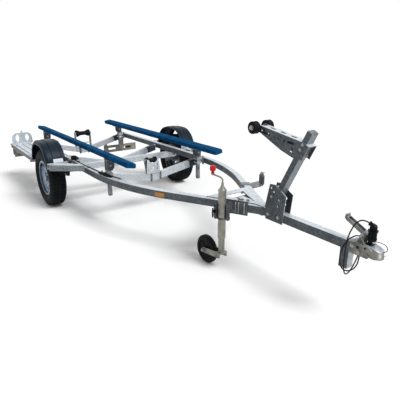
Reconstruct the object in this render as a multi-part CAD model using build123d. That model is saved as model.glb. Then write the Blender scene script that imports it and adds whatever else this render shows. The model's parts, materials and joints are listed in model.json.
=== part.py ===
from build123d import *
import math
import os

# Single-axle boat trailer with two carpeted bunks, keel rollers, a leaning winch post and a jockey wheel.
# +X runs forward to the coupling, +Y to the trailer's left, +Z up. All lengths are millimetres.
# X positions are counted from the wheel axle; every piece is moved to the model's origin on export.

# ---- wheels and axle ----
TYRE_RADIUS = 297.0
TYRE_WIDTH = 165.0
WHEEL_Y = 785.0                 # middle plane of each tyre
RIM_BEAD_RADIUS = 165.0
RIM_FLANGE_RADIUS = 181.0
RIM_WIDTH = 126.0
RIM_WALL = 4.0
RIM_OFFSET = 30.0               # mounting face outboard of the middle plane
RIM_WELL_RADIUS = 140.0
HUB_FLANGE_RADIUS = 66.0
HUB_FLANGE_THICK = 10.0
HUB_BODY_RADIUS = 34.0
HUB_CAP_RADIUS = 27.0
HUB_CAP_LENGTH = 30.0
HUB_LENGTH = 90.0
STUB_RADIUS = 15.0
RUNNING_FIT = 0.05              # radial clearance of everything that turns on a pin
STUD_PCD = 100.0
STUD_COUNT = 4
STUD_HOLE_RADIUS = 6.5
RIM_VENT_RADIUS = 13.0
RIM_VENT_PCD = 212.0
RIM_VENT_COUNT = 8
AXLE_TUBE = 60.0
AXLE_TUBE_WALL = 5.0
HANGER_HALF = 62.0
HANGER_THICK = 7.0
HANGER_DROP = 42.0              # how far a hanger reaches below the rail
HANGER_BACK = 27.6              # between a hanger and the fender bracket ahead of it
ARM_THICK = 22.0
ARM_WIDTH = 50.0
ARM_Y = 660.0                   # outer face of each trailing arm

# ---- frame ----
RAIL_SIZE = 60.0
RAIL_WALL = 4.0
RAIL_CORNER = 7.0
RAIL_TOP = 495.0
RAIL_Y = 583.0                  # rail centre line beside the wheels
RAIL_REAR_X = -1150.0
BEND_START_X = 782.0
BEND_RADIUS = 1963.0
BEND_ANGLE = 27.6
DRAWBAR_SIZE = 60.0
DRAWBAR_WALL = 4.0
DRAWBAR_REAR_X = 2120.0
DRAWBAR_FRONT_X = 3165.0
CROSS_WIDTH = 50.0
CROSS_HEIGHT = 64.0
CROSS_WALL = 3.0
CROSS_END_Z = 440.0             # centre line of a cross member where it meets the rails
CROSS_LOW_Z = {"rear": 298.0, "middle": 304.0, "front": 343.0}     # and at its middle
CROSS_BEND = 160.0
CROSS_INSET = 50.0              # rear cross member's centre ahead of the rails' rear ends
CROSS_X = {"rear": RAIL_REAR_X + CROSS_INSET, "middle": -130.0, "front": 780.0}
GUSSET_REAR_X = 1970.0
GUSSET_THICK = 5.0
GUSSET_SETBACK = 6.0            # its edge lies this far inside the rail's centre line
FOOT_TUBE = 56.0
FOOT_WALL = 3.0
FOOT_X = 3054.0
FOOT_Z = 318.0

# ---- bunks ----
BUNK_REAR_X = -1330.0
BUNK_FRONT_X = 1270.0
BUNK_Y = 465.0
BUNK_TOP = 648.0
BUNK_WIDTH = 92.0
BUNK_HEIGHT = 45.0
BUNK_TILT = 10.0
BUNK_ROUND = 9.0
POST_SIZE = 32.0
POST_WALL = 3.0
POST_Y = 500.0
POST_AHEAD = {"rear": 80.0, "front": 90.0}      # posts ahead of the cross member beside them
POST_X = {end: CROSS_X[end] + POST_AHEAD[end] for end in POST_AHEAD}
POST_FOOT_Z = {"rear": 250.0, "front": 275.0}
CLAMP_WALL = 6.0
CLAMP_HEIGHT = 74.0
SLIP = 0.3                      # gap round a tube that slides in its sleeve before it is bolted

# ---- fenders ----
FENDER_WALL = 5.0
FENDER_TOP_GAP = 85.0           # between the tyre and the sheet above it
FENDER_END_GAP = 20.0           # and between the tyre and the sheet's upright ends
FENDER_FOOT_Z = {"front": 450.0, "rear": 445.0}
FENDER_END_RISE = 4.0           # upright part of the front end, below the round corner
FENDER_ROLL = 28.0              # rounding of the outer edge
FENDER_INNER_Y = 692.0
FENDER_OUTER_Y = 885.0
FENDER_SKIRT = 38.0
FENDER_RIB = 4.0
FENDER_RIB_Y = (723.0, 810.0)
FENDER_RIB_FOOT_Z = 552.0
BRACKET_THICK = 4.0
BRACKET_DEPTH = 46.0
BRACKET_LIP = 58.0
BRACKET_HOLE_RADIUS = 5.0
BRACKET_HOLE_PITCH = 36.0
BRACKET_HOLES = 5
BRACKET_Z = 484.0
STAY_Z = 508.0                  # top of the front stay
STAY_DEPTH = 70.0               # its depth at the fender
STAY_REACH = 280.0              # and how far ahead of the fender it meets the rail
STAY_FOOT = 80.0

# ---- keel rollers ----
KEEL_PIN_RADIUS = 8.0
KEEL_PLATE = 5.0
KEEL_SIDE_GAP = 5.0
REAR_KEEL_Z = 533.0
REAR_KEEL_LENGTH = 188.0
REAR_KEEL_RADIUS = 44.0
REAR_KEEL_WAIST = 27.0
REAR_KEEL_WEB_Z = 402.0
KEEL_CHEEK_HALF = 34.0
FRONT_KEEL_Z = 515.0
FRONT_KEEL_LENGTH = 112.0
FRONT_KEEL_RADIUS = 34.0
FRONT_KEEL_WAIST = 22.0
FRONT_WEB_FLARE = 16.0          # the front web is this much wider at its foot, on each side

# ---- winch post ----
STAND_PLATE = 5.0
POST_LEAN = 26.9
WINCH_TUBE = 60.0
WINCH_TUBE_DEPTH = 40.0
WINCH_TUBE_WALL = 4.0
WINCH_FOOT_X = 2428.0           # rear edge of the post where it meets the drawbar
WINCH_POST_LENGTH = 642.0
BOW_PIN = (2300.0, 1038.0)      # X and Z of the bow roller pin
BOW_PIN_RADIUS = 8.0
BOW_ROLLER_RADIUS = 42.0
BOW_ROLLER_WIDTH = 45.0
BOW_ARM_PLATE = 4.0
BOW_ROLLER_GAP = 5.0
ARM_CROWN_BELOW = 69.0          # the arm's corners, measured down from the post's top
ARM_FRONT_BELOW = 73.0
ARM_HEEL_BELOW = 172.0
ARM_THROAT_BELOW = 202.0
ARM_KNEE = (108.0, 221.0)       # back from the post, and down from its top
ARM_TIP = (45.0, 13.0)          # forward of and above the pin
ARM_HOLE_RADIUS = 6.0
ARM_HOLE_FIRST = 106.0
ARM_HOLE_PITCH = 34.0
ARM_HOLE_DROP = 28.0
ARM_SLOT = (46.0, 16.0)
ARM_SLOT_FIRST = 90.0
ARM_SLOT_PITCH = 90.0
ARM_WINDOW = (37.0, 165.0, 18.0, 34.0)      # middle back from the post, down from its top, width, height
WINCH_PLATE_BELOW = 122.0       # middle of the winch seat, measured down from the post's top
WINCH_PLATE_LENGTH = 104.0
WINCH_PLATE_WIDTH = 76.0
WINCH_PLATE_CHEEK = 20.0

# ---- coupling ----
COUPLING_REAR_X = 3085.0
NOSE_X = 3275.0                 # front tip of the whole trailer
COUPLING_WALL = 5.0
COUPLING_TOP = 503.0
BALL_RADIUS = 25.0
BALL_GAP = 0.4
BALL_Z = 462.0
SOCKET_OUTER = 34.0
SOCKET_RIM = 3.0
SOCKET_RIM_HEIGHT = 7.0
SOCKET_FOOT_Z = 446.0
SOCKET_TOP = 507.0
LEVER_PIVOT = (3154.0, 560.0)
LEVER_TIP = (3040.0, 615.0)
LEVER_WIDTH = 34.0
LEVER_DEPTH = 22.0
LEVER_THICK = 4.0

# ---- plug, its holder and the cable ----
PLUG_X = 3195.0
PLUG_RADIUS = 22.0
PLUG_FOOT_Z = 534.0
PLUG_LENGTH = 62.0
PLUG_CAP_RADIUS = 19.0
PLUG_CAP = 32.0
PLUG_COLLAR_RADIUS = 28.0
PLUG_COLLAR_UP = 59.0
PLUG_COLLAR_THICK = 6.0
PLUG_EXIT = (-0.66, -0.55, 0.51)        # way the cable leaves the plug's cap
PLUG_EXIT_UP = 26.0                     # above the plug's body
PLUG_GLAND = 28.0
PLUG_GLAND_RADIUS = 9.0
HOLDER_RADIUS = 28.0
HOLDER_HEIGHT = 22.0
CABLE_RADIUS = 4.0
GLAND_X = 3134.0
GLAND_RADIUS = 8.0
GLAND_LENGTH = 14.0

# ---- jockey wheel ----
JOCKEY_X = 2210.0
JOCKEY_Y = -250.0
JOCKEY_TRAIL = 170.0
JOCKEY_OUTER_RADIUS = 28.0
JOCKEY_OUTER_WALL = 3.0
JOCKEY_OUTER_Z = (262.0, 610.0)
JOCKEY_INNER_RADIUS = 23.0
JOCKEY_INNER_WALL = 3.0
JOCKEY_INNER_Z = (150.0, 500.0)
JOCKEY_WHEEL_RADIUS = 108.0
JOCKEY_WHEEL_WIDTH = 50.0
JOCKEY_PIN_RADIUS = 8.0
FORK_PLATE = 6.0
FORK_GAP = 5.0
FORK_CAP = 40.0
FORK_BAR = 40.0
JOCKEY_NECK = 57.0              # height of the cap and neck above the outer tube
CRANK_ROD = 6.0
CRANK_RISE = 36.0
CRANK_REACH = 122.0
JAW_REACH = 22.0                # how far the clamp's jaws reach over and under the rail
KNOB_RADIUS = 22.0
KNOB_HEIGHT = 58.0

# ---- rear step plank, guard and lamps ----
TAIL_X = -1345.0                # rear end of the whole trailer
PLANK_GAP = 30.0                # between the plank and the fender bracket
PLANK_INNER_Y = 640.0
PLANK_OUTER_Y = 866.0
PLANK_TOP = 452.0
PLANK_FLANGE = 46.0
PLANK_PLATE = 3.0
OUTRIGGER_X = (-1090.0, -480.0)
OUTRIGGER_DEPTH = 30.0
SLOT_LENGTH = 42.0
SLOT_WIDTH = 12.0
GUARD_X = -1262.0
GUARD_INNER_Y = 612.0
GUARD_OUTER_Y = 856.0
GUARD_TOP = 588.0
GUARD_FIN = 38.0
GUARD_PLATE = 4.0
LAMP_PLATE_Y = (300.0, 800.0)
LAMP_PLATE_Z = (216.0, 316.0)
LAMP_PLATE_THICK = 4.0
LAMP_SLOT = (110.0, 26.0)
LAMP_SLOT_FIRST = 70.0
LAMP_SLOT_PITCH = 240.0
LAMP_WIDTH = 150.0
LAMP_HEIGHT = 84.0
LAMP_DEPTH = 48.0

# ---- spare wheel carrier ----
SPARE_X = 1900.0
SPARE_FLANGE_Y = 410.0
SPARE_PLATE_SHIFT = 22.0        # stud plate ahead of the arm
SPARE_PLATE_WIDTH = 60.0
SPARE_PLATE_HEIGHT = 124.0
SPARE_TUBE = 40.0
SPARE_Z = 518.0

REFLECTOR_X = 1630.0
REFLECTOR = (84.0, 8.0, 32.0)
REAR_REFLECTOR = (70.0, 7.0, 32.0)
REFLECTOR_INSET = 22.0          # rear lens ahead of the plank's rear end

GLAND_TOP = RAIL_TOP - RAIL_SIZE - 4.0          # underside of the coupling's sleeve

# ---- derived places ----
FENDER_TOP = 2 * TYRE_RADIUS + FENDER_TOP_GAP + FENDER_WALL
FENDER_HALF = (math.sqrt(TYRE_RADIUS ** 2 - (FENDER_FOOT_Z["front"] - TYRE_RADIUS) ** 2)
               + FENDER_END_GAP + FENDER_WALL)
FENDER_CORNER = FENDER_TOP - FENDER_FOOT_Z["front"] - FENDER_END_RISE
PLANK_FRONT_X = -FENDER_HALF - BRACKET_DEPTH - PLANK_GAP
AXLE_TUBE_X = FENDER_HALF - HANGER_BACK - HANGER_HALF
WINCH_PLATE_ALONG = WINCH_POST_LENGTH - WINCH_PLATE_BELOW
RAIL_Z = RAIL_TOP - RAIL_SIZE / 2
RAIL_BOTTOM = RAIL_TOP - RAIL_SIZE
RAIL_HALF = RAIL_SIZE / 2
DRAWBAR_HALF = DRAWBAR_SIZE / 2
ANGLE = math.radians(BEND_ANGLE)
BEND_END_X = BEND_START_X + BEND_RADIUS * math.sin(ANGLE)
BEND_END_Y = RAIL_Y - BEND_RADIUS * (1 - math.cos(ANGLE))
MIDDLE_X = (TAIL_X + NOSE_X) / 2
TO_ORIGIN = Pos(-MIDDLE_X, 0, 0)
PI = math.pi


def rail_at(x):
    # centre line of the left rail at station x: its Y and its heading, in radians towards -Y
    if x <= BEND_START_X:
        return RAIL_Y, 0.0
    if x <= BEND_END_X:
        turn = math.asin((x - BEND_START_X) / BEND_RADIUS)
        return RAIL_Y - BEND_RADIUS * (1 - math.cos(turn)), turn
    return BEND_END_Y - (x - BEND_END_X) * math.tan(ANGLE), ANGLE


def mirrored(shape):
    return mirror(shape, about=Plane.XZ)


def slab(x0, x1, y0, y1, z0, z1):
    # a block given by its six faces
    return Pos((x0 + x1) / 2, (y0 + y1) / 2, (z0 + z1) / 2) * Box(abs(x1 - x0), abs(y1 - y0), abs(z1 - z0))


def side_plate(points, y0, y1):
    # an outline in X and Z, from y0 to y1
    face = make_face(Polyline(*[(x, 0, z) for x, z in points], close=True))
    plate = extrude(face, amount=abs(y1 - y0), dir=(0, 1, 0))
    return Pos(0, min(y0, y1), 0) * plate


def pin_along_y(x, z, radius, y0, y1):
    return Pos(x, (y0 + y1) / 2, z) * Rot(90, 0, 0) * Cylinder(radius, abs(y1 - y0))


def turned(profile, y, x, z):
    # a profile of (radius, offset) pairs turned about the Y axis and set at x, y, z
    face = make_face(Polyline(*[(r, w, 0) for r, w in profile], close=True))
    return Pos(x, y, z) * revolve(face, axis=Axis.Y)


# ---------------------------------------------------------------- frame
def along_rail(section):
    # the section carried down the straight, round the bend and on towards the drawbar
    start = Line((RAIL_REAR_X, RAIL_Y), (BEND_START_X, RAIL_Y))
    bend = JernArc(start @ 1, start % 1, BEND_RADIUS, -BEND_ANGLE)
    nose = Line(bend @ 1, bend @ 1 + (bend % 1) * 900)
    base = Plane(origin=start @ 0, z_dir=start % 0, x_dir=(0, 1, 0))
    return Pos(0, 0, RAIL_Z) * sweep(base * section, path=start + bend + nose)


def side_rail():
    room = RAIL_SIZE - 2 * RAIL_WALL
    rail = along_rail(RectangleRounded(RAIL_SIZE, RAIL_SIZE, RAIL_CORNER)) - along_rail(Rectangle(room, room))
    return rail - slab(BEND_START_X, NOSE_X, DRAWBAR_HALF - 900, DRAWBAR_HALF, 0, 2 * RAIL_TOP)


def drawbar():
    length = DRAWBAR_FRONT_X - DRAWBAR_REAR_X
    section = Plane.YZ * (RectangleRounded(DRAWBAR_SIZE, DRAWBAR_SIZE, RAIL_CORNER)
                          - Rectangle(DRAWBAR_SIZE - 2 * DRAWBAR_WALL, DRAWBAR_SIZE - 2 * DRAWBAR_WALL))
    return Pos(DRAWBAR_REAR_X, 0, RAIL_TOP - DRAWBAR_HALF) * extrude(section, amount=length, dir=(1, 0, 0))


def cross_member(place):
    x = CROSS_X[place]
    low = CROSS_LOW_Z[place]
    reach = RAIL_Y - RAIL_HALF
    rise = (CROSS_END_Z - low) / reach
    beyond = reach + 60
    path = FilletPolyline((x, -beyond, low + beyond * rise), (x, 0, low), (x, beyond, low + beyond * rise),
                          radius=CROSS_BEND)
    base = Plane(origin=path @ 0, z_dir=path % 0, x_dir=(1, 0, 0))
    tube = sweep(base * Rectangle(CROSS_WIDTH, CROSS_HEIGHT), path=path)
    tube -= sweep(base * Rectangle(CROSS_WIDTH - 2 * CROSS_WALL, CROSS_HEIGHT - 2 * CROSS_WALL), path=path)
    rail = along_rail(Rectangle(RAIL_SIZE, RAIL_SIZE))
    return (tube & slab(x - 100, x + 100, -reach, reach, 0, 900)) - rail - mirrored(rail)


def nose_gusset():
    # a pair of plates over and under the meeting of the rails and the drawbar
    rear_y, _ = rail_at(GUSSET_REAR_X)
    rear_y -= GUSSET_SETBACK
    meet_x = GUSSET_REAR_X + (rear_y - DRAWBAR_HALF) / math.tan(ANGLE)
    front_x = BEND_END_X + (BEND_END_Y - DRAWBAR_HALF + RAIL_HALF / math.cos(ANGLE)) / math.tan(ANGLE)
    outline = Polyline((GUSSET_REAR_X, -rear_y), (GUSSET_REAR_X, rear_y), (meet_x, DRAWBAR_HALF),
                       (front_x, DRAWBAR_HALF), (front_x, -DRAWBAR_HALF), (meet_x, -DRAWBAR_HALF), close=True)
    hole_x = GUSSET_REAR_X + 70
    hole = Polyline((hole_x, -95), (hole_x, 95), (hole_x + 235, 0), close=True)
    plate = extrude(make_face(outline) - make_face(hole), amount=GUSSET_THICK)
    return [Pos(0, 0, RAIL_TOP) * plate, Pos(0, 0, RAIL_BOTTOM - GUSSET_THICK) * plate]


def axle_tube():
    half = ARM_Y - ARM_THICK
    room = AXLE_TUBE - 2 * AXLE_TUBE_WALL
    z = RAIL_BOTTOM - AXLE_TUBE / 2
    tube = Box(AXLE_TUBE, 2 * half, AXLE_TUBE) - Box(room, 2 * half, room)
    return Pos(AXLE_TUBE_X, 0, z) * tube


def axle_hangers():
    # a plate on the outside of each rail, notched over the axle tube that it is welded to
    y0 = RAIL_Y + RAIL_HALF
    low = RAIL_BOTTOM - HANGER_DROP
    plate = slab(AXLE_TUBE_X - HANGER_HALF, AXLE_TUBE_X + HANGER_HALF, y0, y0 + HANGER_THICK, low, RAIL_TOP - 8)
    seat = AXLE_TUBE / 2
    plate -= slab(AXLE_TUBE_X - seat, AXLE_TUBE_X + seat, y0, y0 + HANGER_THICK, low, RAIL_BOTTOM)
    return [plate, mirrored(plate)]


def trailing_arm():
    # the left arm: a forged bar from the axle tube back to the stub axle
    top = (AXLE_TUBE_X, RAIL_BOTTOM - AXLE_TUBE / 2)
    hub = (0.0, TYRE_RADIUS)
    y0 = ARM_Y - ARM_THICK
    eyes = pin_along_y(*top, ARM_WIDTH / 2 + 5, y0, ARM_Y) + pin_along_y(*hub, ARM_WIDTH / 2 + 2, y0, ARM_Y)
    away = math.atan2(top[1] - hub[1], top[0] - hub[0])
    nx, nz = -math.sin(away) * ARM_WIDTH / 2, math.cos(away) * ARM_WIDTH / 2
    bar = side_plate([(top[0] + nx, top[1] + nz), (hub[0] + nx, hub[1] + nz),
                      (hub[0] - nx, hub[1] - nz), (top[0] - nx, top[1] - nz)], y0, ARM_Y)
    stub = pin_along_y(*hub, STUB_RADIUS, ARM_Y, WHEEL_Y + RIM_OFFSET)
    collar = pin_along_y(*hub, STUB_RADIUS + 8, ARM_Y, hub_inner_y() - 1)
    return eyes + bar + collar + stub


# ---------------------------------------------------------------- wheels (left side)
def hub_inner_y():
    return WHEEL_Y + RIM_OFFSET - HUB_LENGTH


def tyre():
    half = TYRE_WIDTH / 2
    bead = RIM_WIDTH / 2 - RIM_WALL - 0.3
    r = TYRE_RADIUS
    shoulder = half - 14
    pts = [(RIM_BEAD_RADIUS, -bead), (RIM_FLANGE_RADIUS + 1, -bead), (RIM_FLANGE_RADIUS + 9, -bead - 8),
           (RIM_FLANGE_RADIUS + 50, -half),
           (r - 42, -half + 2), (r - 14, -shoulder), (r - 4, -shoulder + 14), (r, -shoulder + 34),
           (r, shoulder - 34), (r - 4, shoulder - 14), (r - 14, shoulder), (r - 42, half - 2),
           (RIM_FLANGE_RADIUS + 50, half), (RIM_FLANGE_RADIUS + 9, bead + 8), (RIM_FLANGE_RADIUS + 1, bead),
           (RIM_BEAD_RADIUS, bead),
           (RIM_BEAD_RADIUS + 14, bead - 12), (r - 16, half - 20), (r - 16, -half + 20),
           (RIM_BEAD_RADIUS + 14, -bead + 12)]
    return turned(pts, WHEEL_Y, 0, TYRE_RADIUS)


def rim():
    # pressed steel wheel: dropped-centre rim, dished disc with vents, stud holes and a centre hole
    half = RIM_WIDTH / 2
    w = RIM_WALL
    bead = RIM_BEAD_RADIUS - 0.3
    flange = RIM_FLANGE_RADIUS
    well = RIM_WELL_RADIUS
    side = half - w
    barrel = [(flange, -half), (flange, -side), (bead, -side), (bead, -side + 20), (well + 4, -18),
              (well + 4, 12), (bead, side - 20), (bead, side), (flange, side), (flange, half),
              (bead - w, half), (bead - w, side - 18), (well, 14), (well, -20), (bead - w, -side + 18),
              (bead - w, -half)]
    ring = turned(barrel, WHEEL_Y, 0, TYRE_RADIUS)
    face = RIM_OFFSET
    seat = HUB_FLANGE_RADIUS + 6
    disc = [(HUB_BODY_RADIUS, face), (HUB_BODY_RADIUS, face + w), (seat, face + w), (seat + 18, face + 17),
            (seat + 42, face + 15), (well + 1, face - 16), (well + 1, face - 16 - w), (seat + 41, face + 11),
            (seat + 20, face + 13), (seat + 1, face)]
    plate = turned(disc, WHEEL_Y, 0, TYRE_RADIUS)
    for k in range(STUD_COUNT):
        a = 2 * PI * (k + 0.5) / STUD_COUNT
        plate -= pin_along_y(STUD_PCD / 2 * math.cos(a), TYRE_RADIUS + STUD_PCD / 2 * math.sin(a),
                             STUD_HOLE_RADIUS, WHEEL_Y, WHEEL_Y + 90)
    for k in range(RIM_VENT_COUNT):
        a = 2 * PI * k / RIM_VENT_COUNT
        plate -= pin_along_y(RIM_VENT_PCD / 2 * math.cos(a), TYRE_RADIUS + RIM_VENT_PCD / 2 * math.sin(a),
                             RIM_VENT_RADIUS, WHEEL_Y, WHEEL_Y + 90)
    return ring + plate


def hub():
    # bearing hub with its flange against the disc, studs through it and a grease cap
    face = RIM_OFFSET
    bore = STUB_RADIUS + RUNNING_FIT
    inner = face - HUB_LENGTH
    body = [(bore, inner), (HUB_BODY_RADIUS - 4, inner), (HUB_BODY_RADIUS - 4, face - 40),
            (HUB_BODY_RADIUS, face - HUB_FLANGE_THICK), (HUB_FLANGE_RADIUS, face - HUB_FLANGE_THICK),
            (HUB_FLANGE_RADIUS, face), (HUB_CAP_RADIUS, face), (HUB_CAP_RADIUS, face + HUB_CAP_LENGTH - 6),
            (HUB_CAP_RADIUS - 8, face + HUB_CAP_LENGTH), (0, face + HUB_CAP_LENGTH), (0, face + 3),
            (bore, face + 3)]
    shape = turned(body, WHEEL_Y, 0, TYRE_RADIUS)
    y = WHEEL_Y + face
    for k in range(STUD_COUNT):
        a = 2 * PI * (k + 0.5) / STUD_COUNT
        x, z = STUD_PCD / 2 * math.cos(a), TYRE_RADIUS + STUD_PCD / 2 * math.sin(a)
        shape += pin_along_y(x, z, STUD_HOLE_RADIUS - 0.5, y - 2, y + RIM_WALL)
        shape += Pos(x, y + RIM_WALL + 7, z) * Rot(90, 0, 0) * extrude(RegularPolygon(10.5, 6), 7, both=True)
    return shape


# ---------------------------------------------------------------- fenders
def fender_outline(grow, drop=0.0):
    # the arch in side view: upright ends, a level top and round corners, pushed out by grow;
    # drop lets its foot down, for the outlines that only cut
    h = FENDER_HALF + grow
    top = FENDER_TOP + grow
    c = FENDER_CORNER + grow
    q = c * (1 - math.cos(PI / 4))
    front = FENDER_FOOT_Z["front"] - drop
    rear = FENDER_FOOT_Z["rear"] - drop
    a = Line((-h, 0, rear), (-h, 0, top - c))
    b = ThreePointArc((-h, 0, top - c), (-h + q, 0, top - q), (-h + c, 0, top))
    d = Line((-h + c, 0, top), (h - c, 0, top))
    e = ThreePointArc((h - c, 0, top), (h - q, 0, top - q), (h, 0, top - c))
    f = Line((h, 0, top - c), (h, 0, front))
    g = Line((h, 0, front), (-h, 0, rear))
    return make_face([a, b, d, e, f, g])


def rolled_arch(outline, wide, radius):
    # the outline carried across the fender, its outer edge rounded over
    arch = extrude(outline, amount=wide, dir=(0, 1, 0))
    foot = outline.bounding_box().min.Z + FENDER_FOOT_Z["front"] - FENDER_FOOT_Z["rear"]
    outer = arch.faces().sort_by(Axis.Y)[-1].edges()
    return fillet([edge for edge in outer if edge.bounding_box().max.Z > foot + 1], radius)


def fender():
    # left fender: a curved sheet with a rolled outer edge, a skirt and a raised band over the top
    wide = FENDER_OUTER_Y - FENDER_INNER_Y
    shell = rolled_arch(fender_outline(0), wide, FENDER_ROLL)
    shell -= rolled_arch(fender_outline(-FENDER_WALL, 40), wide - FENDER_WALL, FENDER_ROLL - FENDER_WALL)
    shell -= extrude(fender_outline(-FENDER_SKIRT, 60), amount=wide, dir=(0, 1, 0))
    y0, y1 = FENDER_RIB_Y
    rib = extrude(fender_outline(FENDER_RIB) - fender_outline(0), amount=y1 - y0, dir=(0, 1, 0))
    rib -= slab(-2 * FENDER_HALF, 2 * FENDER_HALF, 0, y1 - y0, 0, FENDER_RIB_FOOT_Z)
    return Pos(0, FENDER_INNER_Y, 0) * shell + Pos(0, y0, 0) * rib


def fender_bracket():
    # folded strip from the outside of the left rail to the fender's rear end
    x = -FENDER_HALF
    y0 = RAIL_Y + RAIL_HALF
    strip = slab(x - BRACKET_DEPTH, x, y0, FENDER_OUTER_Y - 2, BRACKET_Z - BRACKET_THICK, BRACKET_Z)
    low = BRACKET_Z - BRACKET_LIP
    lip = slab(x - BRACKET_THICK, x, FENDER_INNER_Y - 12, FENDER_OUTER_Y - 2, low, BRACKET_Z)
    foot = slab(x - BRACKET_DEPTH, x, y0, y0 + BRACKET_THICK, RAIL_BOTTOM + 6, BRACKET_Z)
    return strip + lip + foot


def fender_stay():
    # folded plate that runs slantwise from the fender's front end forward to the outside of the left rail
    x = FENDER_HALF
    t = BRACKET_THICK
    y0 = RAIL_Y + RAIL_HALF
    y1 = FENDER_OUTER_Y - 2
    out = (x + STAY_DEPTH, y1)
    rail = (x + STAY_REACH, y0)
    top = make_face(Polyline((x, y1), out, rail, (rail[0] - STAY_FOOT, y0), (x + t, y1 - STAY_DEPTH),
                             (x, y1 - STAY_DEPTH), close=True))
    plate = Pos(0, 0, STAY_Z - t) * extrude(top, amount=t)
    run = math.hypot(rail[0] - out[0], rail[1] - out[1])
    fold = Plane(origin=(out[0], out[1], STAY_Z), x_dir=((rail[0] - out[0]) / run, (rail[1] - out[1]) / run, 0),
                 z_dir=(0, 0, 1))
    lip = Pos(run / 2, -t / 2, -BRACKET_LIP / 2) * Box(2 * run, t, BRACKET_LIP)
    for k in range(BRACKET_HOLES):
        lip -= (Pos(run * 0.3 + BRACKET_HOLE_PITCH * k, 0, -BRACKET_LIP / 2) * Rot(90, 0, 0)
                * Cylinder(BRACKET_HOLE_RADIUS, 4 * t))
    lip = (fold * lip) & slab(x, x + 2 * STAY_REACH, y0, y1, 0, 2 * STAY_Z)
    tab = slab(x, x + t, FENDER_INNER_Y - 12, y1, STAY_Z - BRACKET_LIP, STAY_Z)
    heel = slab(rail[0] - STAY_FOOT, rail[0], y0, y0 + t, STAY_Z - BRACKET_LIP, STAY_Z - t)
    return plate + lip + tab + heel


# ---------------------------------------------------------------- bunks
def bunk_local():
    return Pos(0, BUNK_Y, BUNK_TOP - BUNK_HEIGHT / 2) * Rot(BUNK_TILT, 0, 0)


def bunk():
    length = BUNK_FRONT_X - BUNK_REAR_X
    section = Plane.YZ * RectangleRounded(BUNK_WIDTH, BUNK_HEIGHT, BUNK_ROUND)
    board = extrude(section, amount=length, dir=(1, 0, 0))
    return Pos(BUNK_REAR_X, 0, 0) * bunk_local() * board


def bunk_post(end):
    # square tube with a tilted saddle plate and two cheeks under the bunk
    x = POST_X[end]
    foot = POST_FOOT_Z[end]
    under = bunk_local() * slab(-4000, 4000, -200, 200, -BUNK_HEIGHT / 2 - SLIP, 500)
    top = BUNK_TOP
    room = POST_SIZE - 2 * POST_WALL
    tube = slab(x - POST_SIZE / 2, x + POST_SIZE / 2, POST_Y - POST_SIZE / 2, POST_Y + POST_SIZE / 2, foot, top)
    tube -= slab(x - room / 2, x + room / 2, POST_Y - room / 2, POST_Y + room / 2, foot, top)
    plate = Pos(x, 0, 0) * bunk_local() * Pos(0, 4, -BUNK_HEIGHT / 2 - SLIP - 3) * Box(130, BUNK_WIDTH - 12, 6)
    cheek_z = BUNK_TOP - BUNK_HEIGHT - 95
    cheeks = slab(x - POST_SIZE / 2 - 5, x - POST_SIZE / 2, POST_Y - 34, POST_Y + 26, cheek_z, top)
    cheeks += slab(x + POST_SIZE / 2, x + POST_SIZE / 2 + 5, POST_Y - 34, POST_Y + 26, cheek_z, top)
    return tube + cheeks - under + plate


def post_clamp(end):
    # a sleeve round the post and a web that joins it to the inside of the rail
    x = POST_X[end]
    rail_y, heading = rail_at(x)
    face = rail_y - RAIL_HALF / math.cos(heading)
    out = POST_SIZE / 2 + SLIP + CLAMP_WALL
    hole = POST_SIZE + 2 * SLIP
    z0 = RAIL_Z - CLAMP_HEIGHT / 2
    z1 = RAIL_Z + CLAMP_HEIGHT / 2
    sleeve = slab(x - out, x + out, POST_Y - out, POST_Y + out, z0, z1)
    web = slab(x - 17, x + 17, POST_Y + out - 1, face + 20, z0 + 12, z1 - 12)
    web -= along_rail(Rectangle(RAIL_SIZE, RAIL_SIZE))
    return sleeve + web - slab(x - hole / 2, x + hole / 2, POST_Y - hole / 2, POST_Y + hole / 2, z0, z1)


# ---------------------------------------------------------------- keel rollers
def bobbin(x, z, length, radius, waist, pin):
    half = length / 2
    bore = pin + RUNNING_FIT
    profile = [(bore, -half), (radius - 4, -half), (radius, -half + 5), (radius, -half + 16),
               (waist, -half * 0.42), (waist, half * 0.42), (radius, half - 16), (radius, half - 5),
               (radius - 4, half), (bore, half)]
    return turned(profile, 0, x, z)


def keel_bracket_rear():
    # two cheeks standing on the cross member, a web between them and the roller's pin
    x = CROSS_X["rear"]
    y = REAR_KEEL_LENGTH / 2 + KEEL_SIDE_GAP
    foot = CROSS_LOW_Z["rear"]
    half = KEEL_CHEEK_HALF
    neck = REAR_KEEL_Z - REAR_KEEL_RADIUS - 10
    head = REAR_KEEL_Z + 20
    cheek = side_plate([(x - half, foot), (x + half, foot), (x + half, neck), (x + 20, head), (x - 20, head),
                        (x - half, neck)], y, y + KEEL_PLATE)
    web = slab(x - half, x + half, -y, y, REAR_KEEL_WEB_Z, REAR_KEEL_WEB_Z + KEEL_PLATE)
    web -= slab(x - half + 20, x + half - 20, -y / 2, y / 2, REAR_KEEL_WEB_Z, REAR_KEEL_WEB_Z + KEEL_PLATE)
    pin = pin_along_y(x, REAR_KEEL_Z, KEEL_PIN_RADIUS, -y - KEEL_PLATE - 8, y + KEEL_PLATE + 8)
    return cheek + mirrored(cheek) + web + pin - cross_envelope("rear")


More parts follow.
